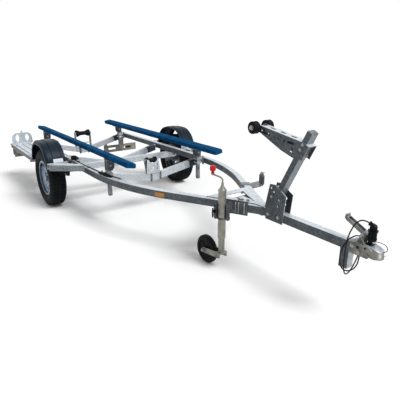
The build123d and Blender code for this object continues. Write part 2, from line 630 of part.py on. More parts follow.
def cross_envelope(place):
    # the cross member filled solid, to trim what stands on it
    x = CROSS_X[place]
    low = CROSS_LOW_Z[place]
    reach = RAIL_Y - RAIL_HALF
    h = CROSS_HEIGHT / 2 + 1
    rise = CROSS_END_Z - low
    outline = Polyline((0, -reach, low + rise - h), (0, 0, low - h), (0, reach, low + rise - h),
                       (0, reach, low + rise + h), (0, 0, low + h + 6), (0, -reach, low + rise + h), close=True)
    return Pos(x - CROSS_WIDTH / 2, 0, 0) * extrude(make_face(outline), amount=CROSS_WIDTH, dir=(1, 0, 0))


def front_pin_x():
    return CROSS_X["front"] + CROSS_WIDTH / 2 - FRONT_KEEL_RADIUS - KEEL_SIDE_GAP - 1


def keel_bracket_front():
    # a flared web on the cross member's front face, hollowed out at the top under the roller,
    # with two cheeks running back from it to the pin
    x = CROSS_X["front"] + CROSS_WIDTH / 2
    pin_x = front_pin_x()
    y = FRONT_KEEL_LENGTH / 2 + KEEL_SIDE_GAP
    out = y + KEEL_PLATE
    foot = CROSS_LOW_Z["front"] - CROSS_HEIGHT / 2
    neck = CROSS_LOW_Z["front"] + CROSS_HEIGHT / 2 + 18
    head = FRONT_KEEL_Z + 18
    cheek = side_plate([(x, neck), (x, head), (pin_x - 26, head + 6), (pin_x - 26, head - 34),
                        (pin_x + 6, neck)],
                       y, out)
    wide = out + FRONT_WEB_FLARE
    outline = Polyline((0, -wide, foot), (0, -wide, foot + 40), (0, -out, head), (0, out, head),
                       (0, wide, foot + 40), (0, wide, foot), close=True)
    web = Pos(x, 0, 0) * extrude(make_face(outline), amount=KEEL_PLATE, dir=(1, 0, 0))
    web -= Pos(x, 0, head + 12) * Rot(0, 90, 0) * Cylinder(y - 12, 4 * KEEL_PLATE)
    for z in (FRONT_KEEL_Z - 92, FRONT_KEEL_Z - 52):
        web -= slab(x - 1, x + KEEL_PLATE + 1, y - 18, y - 10, z, z + 26)
    for z in (FRONT_KEEL_Z - 94, FRONT_KEEL_Z - 64, FRONT_KEEL_Z - 34):
        web -= Pos(x, -y + 16, z) * Rot(0, 90, 0) * Cylinder(5, 4 * KEEL_PLATE)
    web -= Pos(x, 0, FRONT_KEEL_Z - 70) * Rot(0, 90, 0) * Cylinder(9, 4 * KEEL_PLATE)
    pin = pin_along_y(pin_x, FRONT_KEEL_Z, KEEL_PIN_RADIUS, -out - 8, out + 8)
    return cheek + mirrored(cheek) + web + pin


# ---------------------------------------------------------------- winch post
def post_frame():
    # local frame of the post: origin at its rear foot edge, X to its front face, Z up along it
    lean = math.radians(POST_LEAN)
    return Plane(origin=(WINCH_FOOT_X, 0, RAIL_TOP), x_dir=(math.cos(lean), 0, -math.sin(lean)),
                 z_dir=(math.sin(lean), 0, math.cos(lean)))


def on_post(x, z):
    # the model's X and Z of a place given in the post's own frame
    point = post_frame() * Pos(x, 0, z)
    return point.position.X, point.position.Z


def winch_post():
    wide = WINCH_TUBE
    deep = WINCH_TUBE_DEPTH
    w = 2 * WINCH_TUBE_WALL
    bar = Pos(deep / 2, 0, WINCH_POST_LENGTH / 2 - 60) * Box(deep, wide, WINCH_POST_LENGTH + 120)
    bar -= Pos(deep / 2, 0, WINCH_POST_LENGTH / 2 - 60) * Box(deep - w, wide - w, WINCH_POST_LENGTH + 120)
    return post_frame() * bar - slab(0, NOSE_X, -100, 100, 0, RAIL_TOP)


def stand_plates():
    # two cheeks that clamp the drawbar and the foot of the post between them
    foot = RAIL_BOTTOM - 10
    x0 = WINCH_FOOT_X
    z0 = RAIL_TOP
    outline = [(x0 - 8, foot), (x0 - 16, z0 + 25), (x0 + 19, z0 + 185), (x0 + 66, z0 + 189),
               (x0 + 168, z0 + 131),
               (x0 + 146, foot)]
    y0 = max(DRAWBAR_HALF, WINCH_TUBE / 2)
    plate = side_plate(outline, y0, y0 + STAND_PLATE)
    for x, z, radius in ((34, 159, 6), (58, 137, 6), (42, 101, 6), (112, 95, 9), (104, 50, 9), (18, -29, 6),
                         (112, -29, 6)):
        plate -= pin_along_y(x0 + x, z0 + z, radius, y0 - 1, y0 + STAND_PLATE + 1)
    return [plate, mirrored(plate)]


def bow_arm():
    # inverted channel, deep at the post and tapering back to the bow roller pin
    px, pz = BOW_PIN
    y0 = WINCH_TUBE / 2
    y1 = y0 + BOW_ARM_PLATE
    front = WINCH_TUBE_DEPTH
    top = WINCH_POST_LENGTH
    eye = BOW_PIN_RADIUS + 12
    tip = (px + ARM_TIP[0], pz + ARM_TIP[1])
    crown = on_post(front - 12, top - ARM_CROWN_BELOW)
    outline = [(px, pz + eye), tip, crown, on_post(front, top - ARM_FRONT_BELOW),
               on_post(front, top - ARM_HEEL_BELOW), on_post(0, top - ARM_THROAT_BELOW),
               on_post(-ARM_KNEE[0], top - ARM_KNEE[1]), (px + 4, pz - eye - 2),
               (px - 0.7 * eye, pz - 0.6 * eye), (px - eye, pz), (px - 0.7 * eye, pz + 0.7 * eye)]
    plate = side_plate(outline, y0, y1)
    slope = (crown[1] - tip[1]) / (crown[0] - tip[0])
    plate -= side_plate([(px + 2 * eye, pz - 18), (px + 4 * eye, pz - 22), (px + 4 * eye, pz - 8),
                         (px + 2 * eye, pz - 4)], y0, y1)
    for k in range(4):
        x = px + ARM_HOLE_FIRST + ARM_HOLE_PITCH * k
        plate -= pin_along_y(x, tip[1] + slope * (x - tip[0]) - ARM_HOLE_DROP, ARM_HOLE_RADIUS, y0, y1)
    back, down, wide, high = ARM_WINDOW
    low, high = top - down - high / 2, top - down + high / 2
    plate -= side_plate([on_post(-back - wide / 2, low), on_post(-back + wide / 2, low),
                         on_post(-back + wide / 2, high), on_post(-back - wide / 2, high)], y0, y1)
    web = side_plate([tip, crown, (crown[0], crown[1] - BOW_ARM_PLATE), (tip[0], tip[1] - BOW_ARM_PLATE)],
                     -y0, y0)
    long, wide = ARM_SLOT
    for k in range(3):
        x = px + ARM_SLOT_FIRST + ARM_SLOT_PITCH * k
        web -= slab(x, x + long, -wide / 2, wide / 2, pz - top, pz + top)
    pin = pin_along_y(px, pz, BOW_PIN_RADIUS, -bow_outer_y() - 8, bow_outer_y() + 8)
    inside = post_frame() * Pos(top / 2, 0, top / 2) * Box(top, WINCH_TUBE, 2 * top)
    ahead = post_frame() * Pos(front + top / 2, 0, top / 2) * Box(top, top, 2 * top)
    return plate + mirrored(plate) + (web - inside) + pin - ahead


def bow_inner_y():
    return WINCH_TUBE / 2 + BOW_ARM_PLATE + BOW_ROLLER_GAP


def bow_outer_y():
    return bow_inner_y() + BOW_ROLLER_WIDTH


def bow_roller():
    px, pz = BOW_PIN
    half = BOW_ROLLER_WIDTH / 2
    bore = BOW_PIN_RADIUS + RUNNING_FIT
    r = BOW_ROLLER_RADIUS
    profile = [(bore, -half), (r - 6, -half), (r, -half + 8), (r, half - 8), (r - 6, half), (bore, half)]
    return turned(profile, bow_inner_y() + half, px, pz)


def winch_seat():
    # plate with two cheeks and a top flange on the post's front face, where a winch bolts on
    t = STAND_PLATE
    half = WINCH_PLATE_WIDTH / 2
    x0 = WINCH_TUBE_DEPTH
    z = WINCH_PLATE_ALONG
    plate = Pos(x0 + t / 2, 0, z) * Box(t, WINCH_PLATE_WIDTH, WINCH_PLATE_LENGTH)
    for y in (-half + t / 2, half - t / 2):
        plate += Pos(x0 + t + WINCH_PLATE_CHEEK / 2, y, z) * Box(WINCH_PLATE_CHEEK, t, WINCH_PLATE_LENGTH)
    plate += (Pos(x0 + t + WINCH_PLATE_CHEEK / 2, 0, z + (WINCH_PLATE_LENGTH - t) / 2)
              * Box(WINCH_PLATE_CHEEK, WINCH_PLATE_WIDTH, t))
    for y in (-20, 20):
        for dz in (-32, 32):
            plate -= Pos(x0 + t / 2, y, z + dz) * Rot(0, 90, 0) * Cylinder(5, 30)
    return post_frame() * plate


# ---------------------------------------------------------------- coupling and plug
def coupling_body():
    side = DRAWBAR_HALF + COUPLING_WALL
    centre = NOSE_X - SOCKET_OUTER - SOCKET_RIM
    floor = GLAND_TOP
    sleeve = slab(COUPLING_REAR_X, DRAWBAR_FRONT_X + 12, -side, side, floor, COUPLING_TOP)
    outline = make_hull([*Polyline((DRAWBAR_FRONT_X, -side), (DRAWBAR_FRONT_X, side)).edges(),
                         *(Pos(centre, 0) * CenterArc((0, 0), SOCKET_OUTER, 0, 360)).edges()])
    nose = Pos(0, 0, floor) * extrude(outline, amount=SOCKET_TOP - floor)
    nose = chamfer(nose.faces().sort_by(Axis.Z)[-1].edges(), 6)
    nose -= slab(centre - SOCKET_OUTER - 4, NOSE_X, -side, side, floor, SOCKET_FOOT_Z)
    rim = Pos(centre, 0, SOCKET_FOOT_Z + SOCKET_RIM_HEIGHT / 2) * Cylinder(SOCKET_OUTER + SOCKET_RIM,
                                                                            SOCKET_RIM_HEIGHT)
    body = sleeve + nose + rim
    sleeve = DRAWBAR_HALF + SLIP
    body -= slab(COUPLING_REAR_X, DRAWBAR_FRONT_X, -sleeve, sleeve, 0, RAIL_TOP + SLIP)
    ball = Pos(centre, 0, BALL_Z) * Sphere(BALL_RADIUS + BALL_GAP)
    body -= ball + Pos(centre, 0, BALL_Z - 50) * Cylinder(BALL_RADIUS + BALL_GAP, 100)
    px, pz = LEVER_PIVOT
    inner = LEVER_WIDTH / 2 + SLIP
    ear = side_plate([(px - 34, COUPLING_TOP - 2), (px + 4, COUPLING_TOP - 2), (px + 10, pz), (px + 6, pz + 10),
                      (px - 6, pz + 12), (px - 14, pz + 6)], inner, inner + 4)
    return body + ear + mirrored(ear)


def coupling_lever():
    # the raised locking handle: a channel bar, open below, with a turned-down grip at its tip
    px, pz = LEVER_PIVOT
    tx, tz = LEVER_TIP
    reach = math.hypot(tx - px, tz - pz)
    half = LEVER_DEPTH / 2
    grip = LEVER_DEPTH
    wide = LEVER_WIDTH / 2
    lever = Plane(origin=(px, 0, pz), x_dir=((tx - px) / reach, 0, (tz - pz) / reach), z_dir=(0, -1, 0))
    side = Polyline((-half, -half), (-half, half - 5), (-half + 6, half), (reach, half), (reach + 14, half - 6),
                    (reach + 20, half - 20), (reach + 20, -grip), (reach + 10, -grip), (reach + 8, -half),
                    close=True)
    bar = extrude(lever * make_face(side), amount=wide, both=True)
    room = LEVER_WIDTH - 2 * LEVER_THICK
    bore = Pos(half + (reach - half) / 2, -LEVER_THICK, 0) * Box(reach - half, LEVER_DEPTH, room)
    return bar - lever * bore


def plug_holder():
    # round parking socket on a tab that stands on the coupling's nose
    z0 = PLUG_FOOT_Z - 8
    cup = Pos(PLUG_X, 0, z0 + HOLDER_HEIGHT / 2) * (Cylinder(HOLDER_RADIUS, HOLDER_HEIGHT)
                                                  - Pos(0, 0, 4) * Cylinder(PLUG_RADIUS + SLIP, HOLDER_HEIGHT))
    tab = slab(PLUG_X - 14, PLUG_X - 10, -HOLDER_RADIUS / 2, HOLDER_RADIUS / 2, SOCKET_TOP, z0)
    foot = slab(PLUG_X - 14, PLUG_X + 12, -HOLDER_RADIUS / 2, HOLDER_RADIUS / 2, SOCKET_TOP, SOCKET_TOP + 4)
    return cup + tab + foot


def plug():
    # connector body in the holder, a collar, and a cap that the cable leaves slantwise
    z0 = PLUG_FOOT_Z - 4 + SLIP
    up = (Align.CENTER, Align.CENTER, Align.MIN)
    body = Cylinder(PLUG_RADIUS, PLUG_LENGTH, align=up)
    collar = Pos(0, 0, PLUG_COLLAR_UP) * Cylinder(PLUG_COLLAR_RADIUS, PLUG_COLLAR_THICK)
    cap = Pos(0, 0, PLUG_LENGTH) * Cylinder(PLUG_CAP_RADIUS, PLUG_CAP, align=up)
    cap = chamfer(cap.edges().sort_by(Axis.Z)[-1], 5)
    gland = Plane(origin=(0, 0, PLUG_LENGTH + PLUG_EXIT_UP), z_dir=PLUG_EXIT) * Cone(
        PLUG_GLAND_RADIUS + 4, PLUG_GLAND_RADIUS, PLUG_GLAND, align=up)
    return Pos(PLUG_X, 0, z0) * (body + collar + cap + gland)


def cable_gland():
    return Pos(GLAND_X, 0, GLAND_TOP - GLAND_LENGTH / 2) * Cylinder(GLAND_RADIUS, GLAND_LENGTH)


def beyond_plug(run):
    # a place on the line along which the cable leaves the plug
    z = PLUG_FOOT_Z - 4 + SLIP + PLUG_LENGTH + PLUG_EXIT_UP
    away = Vector(*PLUG_EXIT).normalized() * (PLUG_GLAND + run)
    return PLUG_X + away.X, away.Y, z + away.Z


# the cable's route from its gland, once and a half round the drawbar and up past the lever to the plug
CABLE_ROUTE = [
    (GLAND_X, 0, GLAND_TOP - GLAND_LENGTH), (GLAND_X, 0, 380), (3126, -12, 338), (3104, -38, 316),
    (3086, -70, 328), (3078, -92, 368), (3076, -99, 416), (3079, -92, 465), (3085, -64, 507),
    (3092, -18, 524), (3097, 30, 521), (3096, 68, 490), (3089, 82, 442), (3082, 80, 390), (3078, 64, 340),
    (3080, 26, 301), (3088, -22, 286), (3098, -66, 306), (3106, -94, 350), (3110, -104, 402),
    (3111, -108, 456), (3112, -106, 508), (3114, -98, 558), (3121, -82, 602), (3134, -60, 640),
    beyond_plug(30), beyond_plug(0),
]


def route_radii(points):
    radii = []
    for a, b, c in zip(points, points[1:], points[2:]):
        before = Vector(*b) - Vector(*a)
        after = Vector(*c) - Vector(*b)
        turn = math.radians(before.get_angle(after))
        radii.append(0.45 * min(before.length, after.length) / math.tan(turn / 2))
    return radii


def cable():
    radii = route_radii(CABLE_ROUTE)
    print("cable radii", [round(r) for r in radii])
    path = FilletPolyline(*CABLE_ROUTE, radius=radii)
    section = Plane(origin=path @ 0, z_dir=path % 0) * Circle(CABLE_RADIUS)
    tube = sweep(section, path=path)
    ratio = tube.volume / (PI * CABLE_RADIUS ** 2 * path.length)
    print("cable length", round(path.length), "volume ratio", ratio)
    return tube


# ---------------------------------------------------------------- jockey wheel
def jockey_outer():
    z0, z1 = JOCKEY_OUTER_Z
    tube = Cylinder(JOCKEY_OUTER_RADIUS, z1 - z0) - Cylinder(JOCKEY_OUTER_RADIUS - JOCKEY_OUTER_WALL, z1 - z0)
    tube = Pos(0, 0, (z0 + z1) / 2) * tube
    guide = JOCKEY_INNER_RADIUS + RUNNING_FIT
    collar = Cylinder(JOCKEY_OUTER_RADIUS, 60) - Cylinder(guide, 60)
    tube += Pos(0, 0, z0 + 30) * collar
    cap = Pos(0, 0, z1 + 4) * Cylinder(JOCKEY_OUTER_RADIUS + 2, 8)
    up = (Align.CENTER, Align.CENTER, Align.MIN)
    cone = Pos(0, 0, z1 + 8) * Cone(JOCKEY_OUTER_RADIUS - 2, CRANK_ROD + 3, JOCKEY_NECK * 0.55, align=up)
    neck = Pos(0, 0, z1 + 8) * Cylinder(CRANK_ROD + 3, JOCKEY_NECK - 8, align=up)
    return Pos(JOCKEY_X, JOCKEY_Y, 0) * (tube + cap + cone + neck)


def jockey_crank():
    # rod bent back from the neck, with an upright knob at its end
    z = JOCKEY_OUTER_Z[1] + JOCKEY_NECK
    top = z + CRANK_RISE
    path = FilletPolyline((0, 0, z), (0, 0, top - 8), (-34, 0, top), (-CRANK_REACH, 0, top), radius=12)
    rod = sweep(Plane(origin=path @ 0, z_dir=path % 0) * Circle(CRANK_ROD), path=path)
    return Pos(JOCKEY_X, JOCKEY_Y, 0) * rod


def jockey_knob():
    # mushroom grip standing on the end of the crank
    z = JOCKEY_OUTER_Z[1] + JOCKEY_NECK + CRANK_RISE + CRANK_ROD
    r = KNOB_RADIUS
    h = KNOB_HEIGHT
    profile = Polyline((0, 0, 0), (r * 0.55, 0, 0), (r * 0.5, 0, h * 0.28), (r * 0.95, 0, h * 0.42),
                       (r, 0, h * 0.55),
                       (r, 0, h * 0.78), (r * 0.86, 0, h * 0.92), (r * 0.5, 0, h), (0, 0, h), close=True)
    knob = revolve(make_face(profile), axis=Axis.Z)
    return Pos(JOCKEY_X - CRANK_REACH + 12, JOCKEY_Y, z) * knob


def jockey_clamp():
    # bracket on the outside of the right rail, with a split collar round the outer tube
    heading = ANGLE
    rail_y, _ = rail_at(JOCKEY_X)
    along = Vector(math.cos(heading), math.sin(heading), 0)
    out = Vector(math.sin(heading), -math.cos(heading), 0)
    foot = Vector(JOCKEY_X, -rail_y, 0)
    tube = Vector(JOCKEY_X, JOCKEY_Y, 0)
    run = (tube - foot).dot(along)
    away = (tube - foot).dot(out)
    seat = foot + along * run
    frame = Plane(origin=(seat.X, seat.Y, RAIL_Z), x_dir=(along.X, along.Y, 0), z_dir=(0, 0, 1))
    # in this frame +X runs forward along the rail and -Y points outward from it
    plate = Pos(45, -RAIL_HALF - 3, 0) * Box(210, 6, RAIL_SIZE + 44)
    collar = Pos(0, -away, 0) * Cylinder(JOCKEY_OUTER_RADIUS + 9, 92)
    arms = Pos(0, -(RAIL_HALF + away) / 2 - 3, 0) * Box(62, away - RAIL_HALF - 6, 84)
    arms -= Pos(0, -(RAIL_HALF + away) / 2 + 4, 0) * Box(46, away - RAIL_HALF - JOCKEY_OUTER_RADIUS - 22, 84)
    body = plate + arms + collar
    body -= Pos(0, -away, 0) * Cylinder(JOCKEY_OUTER_RADIUS + SLIP, 200)
    for x in (-36, 112):
        for z in (-RAIL_HALF - 3, RAIL_HALF + 3):
            body += Pos(x, -RAIL_HALF + JAW_REACH / 2 - 3, z) * Box(34, JAW_REACH + 6, 6)
    return frame * body


def jockey_inner():
    z0, z1 = JOCKEY_INNER_Z
    tube = Cylinder(JOCKEY_INNER_RADIUS, z1 - z0) - Cylinder(JOCKEY_INNER_RADIUS - JOCKEY_INNER_WALL, z1 - z0)
    floor = Pos(0, 0, -(z1 - z0) / 2 + 4) * Cylinder(JOCKEY_INNER_RADIUS, 8)
    return Pos(JOCKEY_X, JOCKEY_Y, (z0 + z1) / 2) * (tube + floor)


def jockey_fork():
    # swivelling yoke: a cap under the inner tube and two cheeks trailing back to the wheel pin
    z_top = JOCKEY_INNER_Z[0] - SLIP
    inner = JOCKEY_WHEEL_WIDTH / 2 + FORK_GAP
    r = JOCKEY_WHEEL_RADIUS
    half = FORK_CAP / 2
    cap = Pos(0, 0, z_top - 7) * Box(FORK_CAP, 2 * (inner + FORK_PLATE), 14)
    back = -JOCKEY_TRAIL
    q = FORK_BAR / 2
    cheek = side_plate([(half, z_top), (half, z_top - FORK_BAR), (back, r - q), (back - 0.7 * q, r - 0.7 * q),
                        (back - q, r), (back - 0.7 * q, r + 0.7 * q), (back, r + q), (-half, z_top)],
                       inner, inner + FORK_PLATE)
    pin = pin_along_y(-JOCKEY_TRAIL, r, JOCKEY_PIN_RADIUS, -inner - FORK_PLATE - 6, inner + FORK_PLATE + 6)
    return Pos(JOCKEY_X, JOCKEY_Y, 0) * (cap + cheek + mirrored(cheek) + pin)


def jockey_wheel():
    half = JOCKEY_WHEEL_WIDTH / 2
    r = JOCKEY_WHEEL_RADIUS
    bore = JOCKEY_PIN_RADIUS + RUNNING_FIT
    profile = [(bore, -half), (24, -half), (24, -half + 8), (r - 36, -half + 8), (r - 32, -half + 2),
               (r - 12, -half),
               (r, -half + 12), (r, half - 12), (r - 12, half), (r - 32, half - 2), (r - 36, half - 8),
               (24, half - 8), (24, half), (bore, half)]
    return turned(profile, JOCKEY_Y, JOCKEY_X - JOCKEY_TRAIL, r)


# ---------------------------------------------------------------- rear step, guard, lamps
def step_plank():
    # slotted tread plate with turned-down flanges, right side, on two outriggers from the rail
    y0, y1 = -PLANK_OUTER_Y, -PLANK_INNER_Y
    t = PLANK_PLATE
    z0 = PLANK_TOP - PLANK_FLANGE
    plank = slab(TAIL_X, PLANK_FRONT_X, y0, y1, z0, PLANK_TOP)
    plank -= slab(TAIL_X, PLANK_FRONT_X, y0 + t, y1 - t, z0, PLANK_TOP - t)
    rows = 3
    pitch_y = (y1 - y0) / rows
    pitch_x = SLOT_LENGTH + 24
    count = int((PLANK_FRONT_X - TAIL_X - 40) // pitch_x)
    for i in range(count):
        for j in range(rows):
            x = TAIL_X + 36 + pitch_x * i + (pitch_x / 2 if j % 2 else 0)
            y = y0 + pitch_y * (j + 0.5)
            plank -= slab(x, x + SLOT_LENGTH, y - SLOT_WIDTH / 2, y + SLOT_WIDTH / 2, z0, PLANK_TOP)
    return plank


def step_outriggers():
    # bars under the plank's flanges, packed up to the underside of the rail
    z1 = PLANK_TOP - PLANK_FLANGE
    inner = -(RAIL_Y - RAIL_HALF)
    parts = []
    for x in OUTRIGGER_X:
        bar = slab(x - 20, x + 20, -PLANK_OUTER_Y + 12, inner, z1 - OUTRIGGER_DEPTH, z1)
        bar += slab(x - 20, x + 20, inner - RAIL_SIZE, inner, z1, RAIL_BOTTOM)
        parts.append(bar)
    return parts


def lamp_guard():
    # upright plate with two almond holes and a fin between them, on a foot flange
    t = GUARD_PLATE
    y0, y1 = -GUARD_OUTER_Y, -GUARD_INNER_Y
    mid = (y0 + y1) / 2
    z0 = PLANK_TOP
    top = GUARD_TOP
    outline = make_face(Polyline((0, y0, z0), (0, y0, top - 62), (0, y0 + 10, top - 30), (0, y0 + 34, top - 6),
                                 (0, y0 + 66, top), (0, mid - 16, top), (0, mid, top + GUARD_FIN),
                                 (0, mid + 16, top), (0, y1 - 66, top), (0, y1 - 34, top - 6),
                                 (0, y1 - 10, top - 30), (0, y1, top - 62), (0, y1, z0), close=True))
    plate = Pos(GUARD_X, 0, 0) * extrude(outline, amount=t, dir=(1, 0, 0))
    for y in (mid - 58, mid + 58):
        low, high, half = z0 + 26, top - 18, 22
        lens = make_face([ThreePointArc((0, y, low), (0, y - half, (low + high) / 2), (0, y, high)),
                          ThreePointArc((0, y, high), (0, y + half, (low + high) / 2), (0, y, low))])
        plate -= Pos(GUARD_X - 1, 0, 0) * extrude(lens, amount=t + 2, dir=(1, 0, 0))
    foot = slab(GUARD_X, GUARD_X + 40, y0 + 4, -PLANK_INNER_Y, z0, z0 + t)
    return plate + foot


def lamp_plate_left():
    # slotted plate across the left rear corner, hung on straps from the cross member and the rail
    x1 = CROSS_X["rear"] - CROSS_WIDTH / 2 - 4
    t = LAMP_PLATE_THICK
    y0, y1 = LAMP_PLATE_Y
    z0, z1 = LAMP_PLATE_Z
    plate = slab(x1 - t, x1, y0, y1, z0, z1)
    long, high = LAMP_SLOT
    for k in range(2):
        y = y0 + LAMP_SLOT_FIRST + LAMP_SLOT_PITCH * k
        plate -= slab(x1 - t - 1, x1 + 1, y, y + long, (z0 + z1 - high) / 2, (z0 + z1 + high) / 2)
    rise = (CROSS_END_Z - CROSS_LOW_Z["rear"]) / (RAIL_Y - RAIL_HALF)
    plate += slab(x1, x1 + 4, y0 + 8, y0 + 52, z0 + 10, CROSS_LOW_Z["rear"] + rise * (y0 + 30))
    plate += slab(x1, x1 + 4, RAIL_Y - 22, RAIL_Y + 22, z0 + 10, RAIL_BOTTOM)
    plate += slab(x1, x1 + 40, RAIL_Y - 22, RAIL_Y + 22, RAIL_BOTTOM - 4, RAIL_BOTTOM)
    return plate


def lamp_left():
    x1 = CROSS_X["rear"] - CROSS_WIDTH / 2 - 4 - LAMP_PLATE_THICK
    y1 = LAMP_PLATE_Y[1]
    zc = (LAMP_PLATE_Z[0] + LAMP_PLATE_Z[1]) / 2
    return fillet(slab(x1 - LAMP_DEPTH, x1, y1 - LAMP_WIDTH, y1, zc - LAMP_HEIGHT / 2, zc + LAMP_HEIGHT / 2)
                  .edges().filter_by(Axis.X), 14)


def lamp_bracket_right():
    z0 = PLANK_TOP - PLANK_PLATE
    x = GUARD_X
    return (slab(x, x + 4, -PLANK_OUTER_Y + 14, -PLANK_INNER_Y - 40, z0 - 160, z0)
            + slab(x, x + 36, -PLANK_OUTER_Y + 14, -PLANK_INNER_Y - 40, z0 - 4, z0))


def lamp_right():
    z1 = PLANK_TOP - PLANK_FLANGE - 14
    y0 = -PLANK_OUTER_Y + 10
    return fillet(slab(GUARD_X - LAMP_DEPTH, GUARD_X, y0, y0 + LAMP_WIDTH, z1 - LAMP_HEIGHT, z1)
                  .edges().filter_by(Axis.X), 14)


# ---------------------------------------------------------------- spare carrier and reflectors
def rail_frame(x, side):
    # plane on the rail's centre line at station x: X forward along the rail, Y outward, Z up
    y, heading = rail_at(x)
    if side == "left":
        return Plane(origin=(x, y, RAIL_Z), x_dir=(math.cos(heading), -math.sin(heading), 0), z_dir=(0, 0, 1))
    return Plane(origin=(x, -y, RAIL_Z), x_dir=(math.cos(heading), math.sin(heading), 0), z_dir=(0, 0, 1))


def spare_carrier():
    # strap round the left rail, square arm outward and a stud plate that a spare wheel bolts to
    s = RAIL_SIZE
    strap = rail_frame(SPARE_X, "left") * (Box(56, s + 12, s + 12) - Box(56, s, s))
    rail_y, heading = rail_at(SPARE_X)
    start = rail_y + (RAIL_HALF + 4) / math.cos(heading)
    zc = RAIL_Z + 6
    arm = slab(SPARE_X - SPARE_TUBE / 2, SPARE_X + SPARE_TUBE / 2, start - 14, SPARE_FLANGE_Y - 6,
               zc - SPARE_TUBE / 2, zc + SPARE_TUBE / 2)
    arm -= rail_frame(SPARE_X, "left") * Box(400, s + 8, s + 8)
    x = SPARE_X + SPARE_PLATE_SHIFT
    half = SPARE_PLATE_WIDTH / 2
    end = SPARE_PLATE_HEIGHT / 2
    plate = side_plate([(x - half, SPARE_Z - end + half), (x - 8, SPARE_Z - end), (x + 8, SPARE_Z - end),
                        (x + half, SPARE_Z - end + half), (x + half, SPARE_Z + end - half),
                        (x + 8, SPARE_Z + end),
                        (x - 8, SPARE_Z + end), (x - half, SPARE_Z + end - half)],
                       SPARE_FLANGE_Y - 6, SPARE_FLANGE_Y)
    for dz in (-STUD_PCD / 2, STUD_PCD / 2):
        plate -= pin_along_y(x, SPARE_Z + dz, STUD_HOLE_RADIUS, SPARE_FLANGE_Y - 7, SPARE_FLANGE_Y + 1)
    return strap + arm + plate


def side_reflectors():
    # two flat lenses, on the outside of the right rail and on the step plank's flange
    long, thick, high = REFLECTOR
    lens = rail_frame(REFLECTOR_X, "right") * Pos(0, -RAIL_HALF - thick / 2 - SLIP, 0) * Box(long, thick, high)
    long, thick, high = REAR_REFLECTOR
    x = TAIL_X + REFLECTOR_INSET
    z = PLANK_TOP - PLANK_FLANGE + 4
    rear = slab(x, x + long, -PLANK_OUTER_Y - thick, -PLANK_OUTER_Y, z, z + high)
    return [lens, rear]


def drawbar_foot():
    # short open tube under the drawbar, that the trailer's nose rests on when it is stored
    half = FOOT_TUBE / 2
    room = half - FOOT_WALL
    tube = slab(FOOT_X - half, FOOT_X + half, -half, half, FOOT_Z, RAIL_BOTTOM)
    return tube - slab(FOOT_X - room, FOOT_X + room, -room, room, FOOT_Z, RAIL_BOTTOM)


NODES = {
    "side_rail_left": side_rail(),
    "side_rail_right": mirrored(side_rail()),
    "drawbar": drawbar(),
    "drawbar_foot": drawbar_foot(),
    "nose_gusset": nose_gusset(),
    "cross_member_rear": cross_member("rear"),
    "cross_member_middle": cross_member("middle"),
    "cross_member_front": cross_member("front"),
    "axle_tube": axle_tube(),
    "axle_hangers": axle_hangers(),
    "trailing_arms": [trailing_arm(), mirrored(trailing_arm())],
    "tyre_left": tyre(),
    "tyre_right": mirrored(tyre()),
    "rim_left": rim(),
    "rim_right": mirrored(rim()),
    "hub_left": hub(),
    "hub_right": mirrored(hub()),
    "fender_left": fender(),
    "fender_right": mirrored(fender()),
    "fender_brackets": [fender_stay(), fender_bracket(), mirrored(fender_stay()), mirrored(fender_bracket())],
    "bunk_left": bunk(),
    "bunk_right": mirrored(bunk()),
    "bunk_posts": [bunk_post("front"), mirrored(bunk_post("front")), bunk_post("rear"),
                   mirrored(bunk_post("rear"))],
    "post_clamps": [post_clamp("front"), mirrored(post_clamp("front")), post_clamp("rear"),
                    mirrored(post_clamp("rear"))],
    "keel_bracket_rear": keel_bracket_rear(),
    "keel_roller_rear": bobbin(CROSS_X["rear"], REAR_KEEL_Z, REAR_KEEL_LENGTH, REAR_KEEL_RADIUS, REAR_KEEL_WAIST,
                               KEEL_PIN_RADIUS),
    "keel_bracket_front": keel_bracket_front(),
    "keel_roller_front": bobbin(front_pin_x(), FRONT_KEEL_Z, FRONT_KEEL_LENGTH,
                                FRONT_KEEL_RADIUS, FRONT_KEEL_WAIST, KEEL_PIN_RADIUS),
    "stand_plates": stand_plates(),
    "winch_post": winch_post(),
    "bow_arm": bow_arm(),
    "bow_roller_left": bow_roller(),
    "bow_roller_right": mirrored(bow_roller()),
    "winch_seat": winch_seat(),
    "coupling_body": coupling_body(),
    "coupling_lever": coupling_lever(),
    "plug_holder": plug_holder(),
    "plug": plug(),
    "cable_gland": cable_gland(),
    "cable": cable(),
    "jockey_outer_tube": jockey_outer(),
    "jockey_crank": jockey_crank(),
    "jockey_knob": jockey_knob(),
    "jockey_clamp": jockey_clamp(),
    "jockey_inner_tube": jockey_inner(),
    "jockey_fork": jockey_fork(),
    "jockey_wheel": jockey_wheel(),
    "step_plank": step_plank(),
    "step_outriggers": step_outriggers(),
    "lamp_guard": lamp_guard(),
    "lamp_plate_left": lamp_plate_left(),
    "lamp_bracket_right": lamp_bracket_right(),
    "rear_lamps": [lamp_left(), lamp_right()],
    "spare_carrier": spare_carrier(),
    "side_reflectors": side_reflectors(),
}

os.makedirs("parts", exist_ok=True)
for name, shape in NODES.items():
    solids = []
    for piece in (shape if isinstance(shape, list) else [shape]):
        solids.extend((TO_ORIGIN * piece).solids())
    export_step(Compound(children=solids) if len(solids) > 1 else solids[0], f"parts/{name}.step")
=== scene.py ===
import bmesh
import bpy
import json
import math
from mathutils import Matrix, Vector, noise


